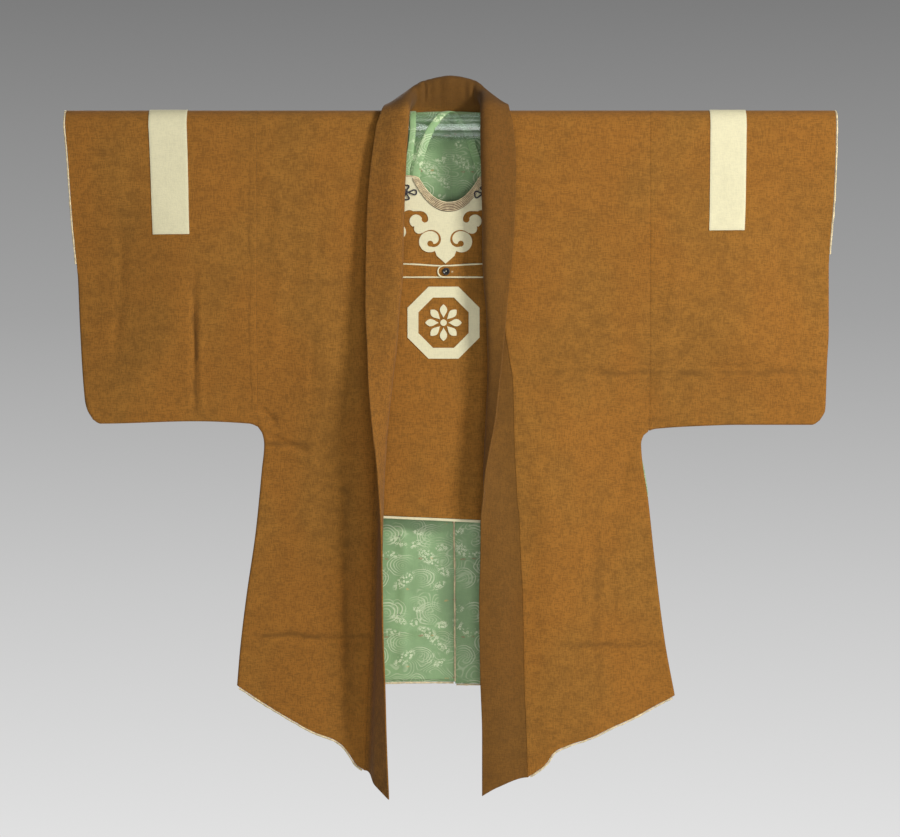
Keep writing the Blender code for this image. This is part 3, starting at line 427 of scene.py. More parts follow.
# The stage, in metres; backdrop stops are places from low to high with their greys
BACKDROP_REACH = 0.145
BACKDROP_STOPS = ((0.0, 0.76), (0.30, 0.58), (0.62, 0.36), (1.0, 0.195))
BACKDROP_LIGHT = 0.42
CAMERA_PLACE = (0.0, -5.0, -0.4941)
PHOTO_WIDTH = 1.5255
SENSOR = 36.0
FLOOR_Z = -2.05
FLOOR_RADIUS = 3.4
FLOOR_SIDES = 96


# Numbers along tables

def ease(amount):
    """A soft step from 0 to 1."""
    amount = min(1.0, max(0.0, amount))
    return amount * amount * (3.0 - 2.0 * amount)


def mix(start, end, amount):
    return start + (end - start) * amount


SMOOTHED = {}


def smoothed(rows, key, column):
    """Keys, numbers and slopes of a table column, the slopes chosen so that it never overshoots."""
    name = (id(rows), key, column)
    if name not in SMOOTHED:
        pairs = sorted((getattr(row, key), getattr(row, column)) for row in rows)
        keys, numbers = [pair[0] for pair in pairs], [pair[1] for pair in pairs]
        steps = [(b - a) / (d - c) for a, b, c, d in zip(numbers, numbers[1:], keys, keys[1:])]
        slopes = [steps[0]]
        for before, after in zip(steps, steps[1:]):
            same = before * after > 0.0
            slopes.append(2.0 * before * after / (before + after) if same else 0.0)
        slopes.append(steps[-1])
        SMOOTHED[name] = (keys, numbers, slopes)
    return SMOOTHED[name]


def read(rows, key, column, value):
    """The value of a column where the key column equals value, on a smooth line through the rows."""
    keys, numbers, slopes = smoothed(rows, key, column)
    index = 0
    while index < len(keys) - 2 and value > keys[index + 1]:
        index += 1
    span = keys[index + 1] - keys[index]
    part = min(1.0, max(0.0, (value - keys[index]) / span))
    square, cube = part * part, part ** 3
    return ((2 * cube - 3 * square + 1) * numbers[index] + (cube - 2 * square + part) * span * slopes[index]
            + (3 * square - 2 * cube) * numbers[index + 1] + (cube - square) * span * slopes[index + 1])


def spread(count, width):
    """Parts of a width from 0 to 1: close together at the turned edge, then even."""
    near = [offset / width for offset in EDGE_OFFSETS]
    return near + [mix(near[-1], 1.0, (step + 1) / count) for step in range(count)]


# The jacket's surface

def flank_x(side, part):
    height = part * side.flank[-1].z
    if height >= side.flank[0].z:
        return side.armhole - side.sign * SEAM_GAP / 2
    return read(side.flank, "z", "x", height)


def sleeve_spot(side, part, column):
    outer_z = part * side.corner[-1].z
    outer_x = read(SLEEVE_EDGE[side.sign], "z", "x", outer_z)
    bottom_x = mix(side.underarm[0].x, side.underarm[-1].x, column)
    inner_x = side.armhole + side.sign * SEAM_GAP / 2
    return mix(outer_x, inner_x, column), part * read(side.underarm, "x", "z", bottom_x)


SLEEVE_EDGE = {side.sign: side.cuff + side.corner[1:] for side in SIDES.values()}
EDGE_PARTS = 160


def sewn_line(side):
    """The sewn edge of a half: down the sleeve below its cuff, along the underarm, down the flank."""
    start = side.cuff[-1].z / side.corner[-1].z
    steps = [step / EDGE_PARTS for step in range(EDGE_PARTS + 1)]
    line = [sleeve_spot(side, mix(start, 1.0, step), 0.0) for step in steps]
    line += [sleeve_spot(side, 1.0, step) for step in steps[1:]]
    first = side.flank[0].z / side.flank[-1].z
    return line + [(flank_x(side, part), part * side.flank[-1].z)
                   for part in (mix(first, 1.0, step) for step in steps[1:])]


SEWN = {}


def reach(side, x, z):
    """How far a point lies from the nearest sewn edge of its half of the jacket."""
    if side.sign not in SEWN:
        line = sewn_line(side)
        tree = kdtree.KDTree(len(line))
        for index, (across, down) in enumerate(line):
            tree.insert((across, down, 0.0), index)
        tree.balance()
        SEWN[side.sign] = (line, tree)
    line, tree = SEWN[side.sign]
    nearest = tree.find((x, z, 0.0))[1]
    away = math.inf
    for index in range(max(0, nearest - 1), min(len(line) - 1, nearest + 1)):
        start, end = line[index], line[index + 1]
        across, down = end[0] - start[0], end[1] - start[1]
        length = max(1e-9, across * across + down * down)
        part = min(1.0, max(0.0, ((x - start[0]) * across + (z - start[1]) * down) / length))
        away = min(away, math.hypot(x - start[0] - part * across, z - start[1] - part * down))
    return away


def creasing(creases, x, z):
    """Height of the creases at a point."""
    total = 0.0
    for crease in creases:
        limit = CREASE_REACH * crease.width
        if not (min(point[1] for point in crease.points) - limit < z
                < max(point[1] for point in crease.points) + limit):
            continue
        best, part_there, run = math.inf, 0.0, 0.0
        whole = sum(math.dist(a, b) for a, b in zip(crease.points, crease.points[1:]))
        for start, end in zip(crease.points, crease.points[1:]):
            length = math.dist(start, end)
            part = ((x - start[0]) * (end[0] - start[0]) + (z - start[1]) * (end[1] - start[1])) / length ** 2
            part = min(1.0, max(0.0, part))
            away = math.hypot(x - mix(start[0], end[0], part), z - mix(start[1], end[1], part))
            if away < best:
                best, part_there = away, (run + part * length) / whole
            run += length
        if best < limit:
            ends = ease(CREASE_END * part_there + 0.25) * ease(CREASE_END - CREASE_END * part_there + 0.25)
            uneven = 0.8 + 0.5 * noise.noise(Vector((x / CREASE_PATCH, crease.height, z / CREASE_PATCH)))
            total += crease.height * ends * uneven * math.exp(-(best / crease.width) ** 2)
    return total


def wander(x, z, layer):
    """Soft uneven swelling of hanging wool."""
    return sum(height * noise.noise(Vector((x / across + layer, layer, z / down)))
               for across, down, height in WANDER)


def detail(creases, side, x, z, layer):
    """Creases and swell together, fading at sewn edges and over the tube."""
    calm = ease(reach(side, x, z) / SEWN_CALM) * ease(-z / TUBE_CALM)
    if calm <= 0.0:
        return 0.0
    size = bpy.context.scene.fire_jacket.crease_depth
    return calm * size * (CREASE_STRENGTH * creasing(creases, x, z) + wander(x, z, layer))


def half_depth(side, x, z):
    """Outer half depth of the doubled cloth: a round turn at a sewn edge, the tube's width far from it."""
    away = reach(side, x, z)
    turn = EDGE_ROUND * math.sqrt(1.0 - (1.0 - min(1.0, away / EDGE_ROUND)) ** 2)
    full = FOLD_RADIUS + NARROWING * min(0.0, z)
    return EDGE_LIFT + turn + (full - EDGE_LIFT - EDGE_ROUND) * ease(away / SPREAD)


def folds(side, x, z):
    """Height of the long hanging folds of a front at a point."""
    total = 0.0
    for fold in side.folds:
        part = (z - fold.top_z) / (fold.low_z - fold.top_z)
        if 0.0 < part < 1.0:
            line = mix(fold.top_x, fold.low_x, part)
            ends = ease(FOLD_END * part) * ease(FOLD_END - FOLD_END * part)
            total += fold.height * ends * math.exp(-((x - line) / fold.width) ** 2)
    return total


def front_y(side, x, z, lift=0.0):
    return -(half_depth(side, x, z) + folds(side, x, z) + detail(FRONT_CREASES, side, x, z, 3.1) + lift)


def back_y(side, x, z, lift=0.0):
    near_neck = 1.0 - ease((abs(x - NECK_CENTRE_X) - NECK_REACH) / NECK_REACH_EASE)
    standing = NECK_EASE * near_neck * (1.0 - ease(-z / NECK_EASE_LENGTH))
    return half_depth(side, x, z) + standing + detail(BACK_CREASES, side, x, z, 8.6) + lift


def over_tube(part, lift=0.0):
    """Depth and height of the cloth at a part of its fold, from the front over the top to the back."""
    angle = math.pi * part
    radius = FOLD_RADIUS + lift
    return -radius * math.cos(angle), radius * math.sin(angle)


def neck_seam_x(side, place):
    """Width of the neck edge at a place in the neck table, up to its corner."""
    index = min(NECK_TABLE_STEP - 1, int(place))
    return mix(side.neck[index].seam_x, side.neck[index + 1].seam_x, min(1.0, place - index))


def neck_edge(side, degrees, lift=0.0):
    """A point of the back neck edge, from the corner on the fold to the centre back."""
    corner_x = side.neck[NECK_TABLE_STEP].seam_x
    corner_y, corner_z = over_tube(NECK_FOLD_STEP / FOLD_STEPS, lift)
    turn = math.radians(degrees)
    centre_x = NECK_CENTRE_X + side.sign * SEAM_GAP / 2
    x = centre_x + (corner_x - centre_x) * math.cos(turn)
    return x, mix(corner_y, NECK_BACK_Y + lift, math.sin(turn)), mix(corner_z, NECK_TOP_Z, math.sin(turn))


def neck_wall(side, degrees, step, lift=0.0):
    """A point of the back between its neck edge and the level of the tube's middle."""
    part = (step - NECK_FOLD_STEP) / (FOLD_STEPS - NECK_FOLD_STEP)
    top_x, top_y, top_z = neck_edge(side, degrees, lift)
    low_x, low_z = back_spot(side, 0.0, 1.0, 1.0 - math.cos(math.radians(degrees)))
    low_y = back_y(side, low_x, low_z, lift)
    return mix(top_x, low_x, part), mix(top_y, low_y, math.sin(math.pi / 2 * part)), mix(top_z, low_z, part)


def front_spot(side, part, column):
    """Place of a front point: part down its length, column from the flank to the collar seam."""
    hem_z = read(side.hem, "x", "z", mix(side.flank[-1].x, side.hem[-1].x, column))
    inner_x = read(side.band, "z", "seam_x", part * side.hem_end_z)
    return mix(flank_x(side, part), inner_x, column), part * hem_z


def back_spot(side, part, column, inward):
    """Place of a back point; inward runs from the neck corner's line to the centre seam."""
    corner_x = side.neck[NECK_TABLE_STEP].seam_x
    x = mix(flank_x(side, part), corner_x, column)
    z = part * read(BACK_HEM, "x", "z", x)
    centre_x = read(CENTRE_SEAM, "z", "x", z) + side.sign * SEAM_GAP / 2
    return mix(x, centre_x, inward), z


def inner_parts():
    return [1.0 - math.cos(math.radians(turn)) for turn in NECK_TURNS]


def body_lattice(side):
    """Points of one body half: up the front, over the tube and down the back, with the neck cut out."""
    columns = spread(BODY_COLUMNS, abs(side.armhole) * 0.75)
    points = {}
    for row in range(BODY_ROWS + 1):
        part = row / BODY_ROWS
        for column, across in enumerate(columns):
            x, z = front_spot(side, part, across)
            points[-row, column] = (x, front_y(side, x, z), z)
            x, z = back_spot(side, part, across, 0.0)
            points[FOLD_STEPS + row, column] = (x, back_y(side, x, z), z)
        for extra, inward in enumerate(inner_parts()):
            x, z = back_spot(side, part, 1.0, inward)
            points[FOLD_STEPS + row, len(columns) + extra] = (x, back_y(side, x, z), z)
    for step in range(1, FOLD_STEPS):
        y, z = over_tube(step / FOLD_STEPS)
        neck_x = neck_seam_x(side, min(1.0, step / NECK_FOLD_STEP) * NECK_TABLE_STEP)
        for column, across in enumerate(columns):
            points[step, column] = (mix(flank_x(side, 0.0), neck_x, across), y, z)
    for extra, turn in enumerate(NECK_TURNS):
        for step in range(NECK_FOLD_STEP, FOLD_STEPS):
            points[step, len(columns) + extra] = neck_wall(side, turn, step)
    return points


def sleeve_lattice(side, lift=0.0, columns=None, rows=None):
    """Points of a sleeve, or of a band that lies on it: front, over the tube, back."""
    columns = columns or spread(SLEEVE_COLUMNS, abs(side.armhole - side.cuff[0].x))
    rows = rows or [1.0 - part for part in reversed(spread(SLEEVE_ROWS, -side.underarm[-1].z))]
    points = {}
    for column, across in enumerate(columns):
        for row, part in enumerate(rows):
            x, z = sleeve_spot(side, part, across)
            points[-row, column] = (x, front_y(side, x, z, lift), z)
            points[FOLD_STEPS + row, column] = (x, back_y(side, x, z, lift), z)
        for step in range(1, FOLD_STEPS):
            y, z = over_tube(step / FOLD_STEPS, lift)
            points[step, column] = (sleeve_spot(side, 0.0, across)[0], y, z)
    return points


def stripe_lattice(side):
    """The cream band over the shoulder of a sleeve."""
    outer, inner, low_z = side.stripe
    width = side.armhole - side.cuff[0].x
    ends = [(edge - side.cuff[0].x) / width for edge in (outer, inner)]
    columns = [mix(*ends, step / 12) for step in range(13)]
    low = low_z / side.underarm[-1].z
    rows = [low * step / 28 for step in range(29)]
    return sleeve_lattice(side, 0.25, columns, rows)


def lining_lattice(side, wool):
    """The silk inside the middle of the back, from the neck edge down."""
    inset = wool + LINING_GAP
    columns = [mix(LINING_START, 1.0, step / LINING_COLUMNS) for step in range(LINING_COLUMNS + 1)]
    low = 1.0 + LINING_RISE / side.flank[-1].z
    points = {}
    for row in range(BODY_ROWS):
        part = low * (row + 1) / BODY_ROWS
        places = [back_spot(side, part, across, 0.0) for across in columns]
        places += [back_spot(side, part, 1.0, inward) for inward in inner_parts()]
        for column, (x, z) in enumerate(places):
            soft = ease(-z / 60.0) * (0.8 * creasing(LINING_CREASES, x, z) + 0.35 * wander(x, z, 5.2))
            points[row, column] = (x, back_y(side, x, z, -inset) - max(0.0, soft + 1.2), z)
    for extra, turn in enumerate(NECK_TURNS):
        for step in range(NECK_FOLD_STEP, FOLD_STEPS + 1):
            x, y, z = neck_wall(side, turn, step, -inset)
            drop = LINING_GAP if step == NECK_FOLD_STEP else 0.0
            points[step - FOLD_STEPS - 1, len(columns) + extra] = (x, y, z - drop)
    return points


# The collar band

def unit(vector):
    length = math.sqrt(sum(value * value for value in vector))
    return tuple(value / length for value in vector)


def bend(start, start_way, end, end_way, part):
    """A point of the curve that leaves start along one way and meets end along another."""
    pull = math.dist(start, end)
    square, cube = part * part, part * part * part
    weights = (2 * cube - 3 * square + 1, cube - 2 * square + part, 3 * square - 2 * cube, cube - square)
    return tuple(weights[0] * a + weights[1] * pull * da + weights[2] * b + weights[3] * pull * db
                 for a, da, b, db in zip(start, start_way, end, end_way))


def band_section(rails):
    """Points across the collar band from its seam over the roll to the free edge."""
    seam, way, roll, edge = rails
    rise = unit([b - a for a, b in zip(seam, roll)])
    fall = unit([b - a for a, b in zip(roll, edge)])
    roll_way = unit([a + b for a, b in zip(rise, fall)])
    first = [bend(seam, unit(way), roll, roll_way, step / BAND_STEPS) for step in range(BAND_STEPS)]
    last = [bend(roll, roll_way, edge, fall, step / BAND_STEPS) for step in range(BAND_STEPS + 1)]
    return first + last


def front_rails(side, part, wool):
    """Seam, its way, roll and free edge of the band at a part of the front's length."""
    seam_z = part * side.hem_end_z
    edge_z = part * side.tip_z
    roll_z = (seam_z + edge_z) / 2
    seam_x = read(side.band, "z", "seam_x", seam_z)
    seam = (seam_x + side.sign * BAND_TUCK, front_y(side, seam_x, seam_z, -wool / 2 - BAND_DROP), seam_z)
    roll = (read(side.band, "z", "roll_x", roll_z), read(side.band, "z", "roll_y", roll_z), roll_z)
    edge = (read(side.band, "z", "edge_x", edge_z), read(side.band, "z", "edge_y", edge_z), edge_z)
    return seam, (-side.sign, 0.0, 0.0), roll, edge


def neck_rails(side, index, wool):
    row = side.neck[index]
    lean = math.radians(row.lean)
    way = (-side.sign * math.cos(lean), 0.0, math.sin(lean))
    if index <= NECK_TABLE_STEP:
        part = index / NECK_TABLE_STEP * NECK_FOLD_STEP / FOLD_STEPS
        start = (row.seam_x, *over_tube(part, -wool / 2 - BAND_DROP))
    else:
        start = neck_edge(side, NECK_TABLE_TURNS[index - NECK_TABLE_STEP - 1], -wool / 2 - BAND_DROP)
    seam = tuple(value - BAND_TUCK * step for value, step in zip(start, way))
    return seam, way, (row.roll_x, row.roll_y, row.roll_z), (row.edge_x, row.edge_y, row.edge_z)


def between(four, part):
    """A point between the middle two of four, on a smooth line through all of them."""
    square, cube = part * part, part ** 3
    weights = (-0.5 * cube + square - 0.5 * part, 1.5 * cube - 2.5 * square + 1.0,
               -1.5 * cube + 2.0 * square + 0.5 * part, 0.5 * cube - 0.5 * square)
    return tuple(sum(weight * point[axis] for weight, point in zip(weights, four)) for axis in range(3))


def finer(rails, parts):
    """The same rails with more of them between, on smooth lines."""
    made = []
    for index in range(len(rails) - 1):
        near = [rails[max(0, min(len(rails) - 1, index + step))] for step in (-1, 0, 1, 2)]
        for step in range(parts):
            made.append(tuple(between([rail[piece] for rail in near], step / parts) for piece in range(4)))
    return made + [rails[-1]]


def collar_lattice(wool):
    """The collar band from the left front's tip round the neck to the right front's tip."""
    half = {}
    for side in SIDES.values():
        down = [front_rails(side, row / BODY_ROWS, wool) for row in range(1, BODY_ROWS + 1)]
        neck = [neck_rails(side, index, wool) for index in range(len(side.neck))]
        half[side.sign] = (list(reversed(down)), neck)
    loop = half[-1][1] + list(reversed(half[1][1]))[1:]
    sections = half[-1][0] + finer(loop, NECK_PARTS) + list(reversed(half[1][0]))
    points = {}
    size = bpy.context.scene.fire_jacket.crease_depth
    for row, rails in enumerate(sections):
        section = band_section(rails)
        for column, point in enumerate(section):
            free = ease(column / 5.0)
            along = row / 7.0
            across = column / (len(section) - 1)
            ripple = 0.9 * noise.noise(Vector((along * 0.35, across * 1.2, 2.0)))
            ripple += 0.5 * noise.noise(Vector((along * 1.6, across * 3.0, 7.0)))
            high = ease((point[2] - 20.0) / 30.0)
            pinch = sum(depth * math.exp(-((point[0] - place) / wide) ** 2) for place, wide, depth
                        in PINCHES)
            inner = 1.0 - ease((column - BAND_STEPS) / 5.0)
            shift = size * free * ripple + high * inner * free * pinch * 0.8
            points[row, column] = (point[0], point[1] + shift, point[2] + 0.25 * size * free * ripple)
    return points


# The chest cloth

def neckline(half_width, depth, steps):
    """The scooped neck of the chest cloth, from left to right."""
    points = []
    for step in range(steps + 1):
        away = mix(-half_width, half_width, step / steps)
        drop = depth * (1.0 - abs(away / half_width) ** SCOOP_POWER)
        points.append((NECKLINE_X + away, NECKLINE_TOP_Z - drop))
    return points


def bib_bottom_z(x):
    """The bottom edge hangs a little lower on the right."""
    return BIB_BOTTOM_Z + BIB_BOTTOM_SLOPE * (x - BIB_CENTRE_X)


def bib_top_z(x):
    """The top edge: two round shoulders and the scoop between them."""
    away = x - NECKLINE_X
    if abs(away) < NECKLINE_HALF:
        return NECKLINE_TOP_Z - NECKLINE_DEPTH * (1.0 - abs(away / NECKLINE_HALF) ** SCOOP_POWER)
    sign = 1.0 if away > 0.0 else -1.0
    inner, outer = NECKLINE_X + sign * NECKLINE_HALF, BIB_CENTRE_X + sign * BIB_SIDE[-1].x
    part = min(1.0, max(0.0, (x - inner) / (outer - inner)))
    swell = math.sqrt(max(0.0, math.sin(math.pi * mix(0.1, 0.9, part))))
    return NECKLINE_TOP_Z - SHOULDER_DROP + SHOULDER_RISE * swell


def bib_y(x, z):
    """Front of the chest cloth: flat under its patches, a slack crease and swell lower down."""
    low = ease((-430.0 - z) / 60.0)
    crease = 2.2 * math.exp(-((z + 505.0 + 0.02 * x) / 12.0) ** 2)
    crease -= 1.4 * math.exp(-((z + 528.0) / 14.0) ** 2)
    return BIB_FRONT_Y + ease((-455.0 - z) / 30.0) * crease + low * wander(x, z, 12.4)


def bib_lattice():
    """Grid of the chest cloth, from its bottom edge up to the shoulders and the scoop."""
    across, down = 72, 96
    points = {}
    for column in range(across + 1):
        side = mix(-1.0, 1.0, column / across)
        top_x = BIB_CENTRE_X + side * BIB_SIDE[-1].x
        for row in range(down + 1):
            part = row / down
            x = top_x
            for _ in range(3):
                z = mix(bib_bottom_z(x), bib_top_z(top_x), part)
                x = BIB_CENTRE_X + side * read(BIB_SIDE, "z", "x", z)
            points[row, column] = (x, bib_y(x, z), z)
    return points


def strap_lattice(strap):
    """A flat strap along its path, its width across the tube, a little cupped and rippled."""
    path = list(strap.rise)
    for step in range(13):
        part = step / 12
        angle = math.radians(mix(*strap.degrees, part))
        path.append((mix(*strap.turn_x, part), STRAP_RADIUS * math.cos(angle),
                     STRAP_RADIUS * math.sin(angle)))
    path += strap.fall
    rows = []
    for index in range(len(path) - 1):
        near = [path[max(0, min(len(path) - 1, index + step))] for step in (-1, 0, 1, 2)]
        rows += [between(near, step / 5) for step in range(5)]
    rows.append(path[-1])
    points = {}
    for row, (x, y, z) in enumerate(rows):
        for column in range(7):
            out = mix(-1.0, 1.0, column / 6)
            away = unit((0.0, y, z)) if z > -35.0 else (0.0, -1.0 if y < 0.0 else 1.0, 0.0)
            puff = 0.5 * (1.0 - out * out) + 0.35 * noise.noise(Vector((row / 4.0, out * 1.5, strap.width)))
            points[row, column] = (x + out * strap.width / 2, y + puff * away[1], z + puff * away[2])
    return points


# Shader maths

class Wire:
    """A node's output; a sum, difference or product of wires adds the nodes that work it out."""

    def __init__(self, look, socket):
        self.look = look
        self.socket = socket

    def __add__(self, other):
        return self.look.maths("ADD", self, other)

    def __sub__(self, other):
        return self.look.maths("SUBTRACT", self, other)

    def __rsub__(self, other):
        return self.look.maths("SUBTRACT", other, self)

    def __mul__(self, other):
        return self.look.maths("MULTIPLY", self, other)

    def __truediv__(self, other):
        return self.look.maths("DIVIDE", self, other)

    def __pow__(self, other):
        return self.look.maths("POWER", self, other)

    def __abs__(self):
        return self.look.maths("ABSOLUTE", self)


class Look:
    """A material, its nodes and its shader."""

    def __init__(self, name, **constants):
        self.material = bpy.data.materials.new(name)
        self.material.use_nodes = True
        self.tree = self.material.node_tree
        self.shader = self.tree.nodes["Principled BSDF"]
        for socket, value in constants.items():
            self.shader.inputs[socket.replace("_", " ")].default_value = value
        self.place = self.node("ShaderNodeTexCoord", output=3)

    def node(self, kind, settings=None, sockets=None, output=0):
        """A node of a type, with its settings made first, then the values or wires of its sockets."""
        made = self.tree.nodes.new(kind)
        for name, value in (settings or {}).items():
            setattr(made, name, value)
        for place, value in (sockets or {}).items():
            if isinstance(value, Wire):
                self.tree.links.new(value.socket, made.inputs[place])
            else:
                made.inputs[place].default_value = value
        return Wire(self, made.outputs[output])

    def maths(self, operation, *values):
        return self.node("ShaderNodeMath", {"operation": operation}, dict(enumerate(values)))

    def step(self, value, low, high):
        """0 below low, 1 above high, soft between."""
        return self.node("ShaderNodeMapRange", {"interpolation_type": "SMOOTHSTEP"},
                         {"Value": value, "From Min": low, "From Max": high})

    def blend(self, amount, first, second):
        """Mix of two colours."""
        return self.node("ShaderNodeMix", {"data_type": "RGBA"},
                         {0: amount, 6: first, 7: second}, output=2)

    def noise(self, size, detail=2.0, stretch=(1.0, 1.0, 1.0), roughness=0.55):
        """Noise with grains of a size in millimetres, stretched along the axes."""
        scale = tuple(1.0 / (size * MM * part) for part in stretch)
        place = self.node("ShaderNodeMapping", {}, {"Vector": self.place, "Scale": scale})
        return self.node("ShaderNodeTexNoise", {},
                         {"Vector": place, "Scale": 1.0, "Detail": detail, "Roughness": roughness})

    def axes(self):
        """The three coordinates, in millimetres."""
        parts = [self.node("ShaderNodeSeparateXYZ", {}, {0: self.place}, output=axis) for axis in range(3)]
        return [part * (1.0 / MM) for part in parts]

    def bump(self, height, distance, strength=1.0):
        normal = self.node("ShaderNodeBump", {},
                           {"Height": height, "Distance": distance * MM, "Strength": strength})
        self.tree.links.new(normal.socket, self.shader.inputs["Normal"])

    def feed(self, socket, wire):
        self.tree.links.new(wire.socket, self.shader.inputs[socket])


LOOKS = {}


def look_for(name):
    """The material of a finish, made once."""
    if name not in LOOKS:
        LOOKS[name] = FINISHES[name]().material
    return LOOKS[name]


def shade(colour, amount):
    """A colour made darker or lighter, for a socket."""
    return (*[channel * amount for channel in colour], 1.0)


def painted_crease_shade(look):
    """Strength of the painted shade along the old fold lines of the fronts and the back, darkening their
    creases.
    """
    x, _, z = look.axes()
    waver = (look.noise(60.0, 2.0) - 0.5) * CREASE_SHADE_WAVER
    broken = look.step(look.noise(34.0, 3.0), 0.30, 0.58)
    total = None
    for line in CREASE_SHADE_LINES:
        across, along, place = (z, x, line.place) if line.level else (x, z, line.place)
        away = abs(across + waver - place)
        mark = (1.0 - look.step(away, 0.0, line.width)) * look.step(along, line.start, line.start + CREASE_SHADE_FADE)
        mark = mark * (1.0 - look.step(along, line.end - CREASE_SHADE_FADE, line.end)) * line.strength
        total = mark if total is None else look.maths("MAXIMUM", total, mark)
    return total * broken


def painted_collar_shade(look):
    """Strength of the painted shade on the collar: its right side, and most of all behind the neck."""
    x, _, z = look.axes()
    return look.maths("MAXIMUM", look.step(x, -20.0, 20.0) * 0.55, look.step(z, 20.0, 45.0) * 0.8)


def wool_look(name, colour, warm, mottle, sheen, wear_and_painted_shade=None):
    """Fulled broadcloth: a fine weave under a short nap, clouded, with painted shade where a mask of it is
    given.
    """
    look = Look(name, Roughness=0.93, Sheen_Weight=sheen, Sheen_Roughness=0.55, IOR=1.35)
    weft = look.noise(1.5, 1.0, (6.0, 1.5, 1.0))
    warp = look.noise(1.5, 1.0, (1.0, 1.5, 6.0))
    nap = look.noise(1.9, 3.0)
    cloud = look.noise(17.0, 5.0, (1.3, 1.0, 1.0), 0.65)
    field = look.noise(210.0, 3.0, (0.8, 1.0, 1.4))
    grain = (weft + warp) * 0.5
    tone = look.blend(look.step(cloud, 0.34, 0.66), shade(colour, 1.0 - mottle), shade(colour, 1.0 + mottle))
    tone = look.blend(look.step(field, 0.36, 0.60) * 0.5, tone, shade(warm, 1.0))
    tone = look.blend((1.0 - look.step(grain, 0.40, 0.56)) * 4.0 * mottle, tone, shade(colour, 0.5))
    tone = look.blend(look.step(nap, 0.56, 0.74) * 1.4 * mottle, tone, shade(warm, 1.5))
    # Painted shade: the wool is darkened towards 0.42 of its colour where the mask is strong.
    if wear_and_painted_shade:
        tone = look.blend(wear_and_painted_shade(look), tone, shade(colour, 0.42))
    look.feed("Base Color", tone)
    look.bump(grain * 0.7 + nap * 0.5, 0.5, 0.9)
    return look


def brown_wool():
    sizes = bpy.context.scene.fire_jacket
    # Painted shade along the crease lines darkens this wool.
    return wool_look("brown_wool", sizes.wool_colour, sizes.warm_colour, 0.13, 0.05, painted_crease_shade)


def collar_wool():
    """The collar band's wool, painted darker than the fronts as shade, with more painted shade on its right
    side and behind the neck.
    """
    sizes = bpy.context.scene.fire_jacket
    # Both colours are the wool's own colours painted darker, as painted shade.
    shaded_collar_colour = [COLLAR_SHADE * channel for channel in sizes.wool_colour]
    rubbed = [COLLAR_SHADE * channel for channel in sizes.warm_colour]
    return wool_look("collar_wool", shaded_collar_colour, rubbed, 0.15, 0.05, painted_collar_shade)


def cream_wool():
    colour = bpy.context.scene.fire_jacket.cream_colour
    return wool_look("cream_wool", colour, colour, 0.03, 0.05)


def pattern(look):
    """The silk's woven waves, as a strength from 0 to 1, and the coordinates within one repeat."""
    warp = look.noise(17.0, 1.0)
    x, _, z = look.axes()
    x = look.maths("MODULO", x + (warp - 0.5) * 7.0 + 40.0 * PATTERN_WIDTH, PATTERN_WIDTH)
    z = look.maths("MODULO", z + (warp - 0.5) * 5.0 + 40.0 * PATTERN_HEIGHT, PATTERN_HEIGHT)
    lines = None
    for whirl in WHIRLS:
        across, up = (x - whirl.x) / whirl.wide, (z - whirl.z) / whirl.high
        away = (across * across + up * up) ** 0.5
        ring = abs(look.maths("FRACT", away * whirl.rings) - 0.5)
        ring = (1.0 - look.step(ring, 0.10, 0.26)) * (1.0 - look.step(away, 0.93, 1.0))
        turned = look.step(across * whirl.facing + up * 0.35, -0.55, 0.45)
        edge = look.step(away, 0.15, 0.85) * 0.6 + 0.4
        ring = ring * turned * edge * whirl.light
        lines = ring if lines is None else look.maths("MAXIMUM", lines, ring)
    field = None
    for foam in FOAMS:
        turn = math.radians(foam.turn)
        over, up = x - foam.x, z - foam.z
        along = (over * math.cos(turn) + up * math.sin(turn)) / foam.long
        aside = (up * math.cos(turn) - over * math.sin(turn)) / foam.wide
        cluster = 1.0 - look.step(along * along + aside * aside, 0.25, 1.05)
        field = cluster if field is None else look.maths("MAXIMUM", field, cluster)
    curls = look.node("ShaderNodeTexVoronoi", {"feature": "F1"},
                      {"Vector": look.place, "Scale": 1.0 / (4.4 * MM), "Randomness": 0.9})
    curl = (1.0 - look.step(abs(curls - 0.36), 0.08, 0.22)) * look.step(look.noise(5.0, 2.0), 0.30, 0.48)
    stream = look.noise(44.0, 1.0, (1.5, 1.0, 0.8))
    ripple = 1.0 - look.step(abs(look.maths("FRACT", stream * 20.0) - 0.5), 0.08, 0.20)
    ripple = ripple * look.step(look.noise(38.0, 1.0), 0.50, 0.62) * 0.42
    lines = look.maths("MAXIMUM", look.maths("MAXIMUM", lines, ripple), curl * field)
    return lines, x, z


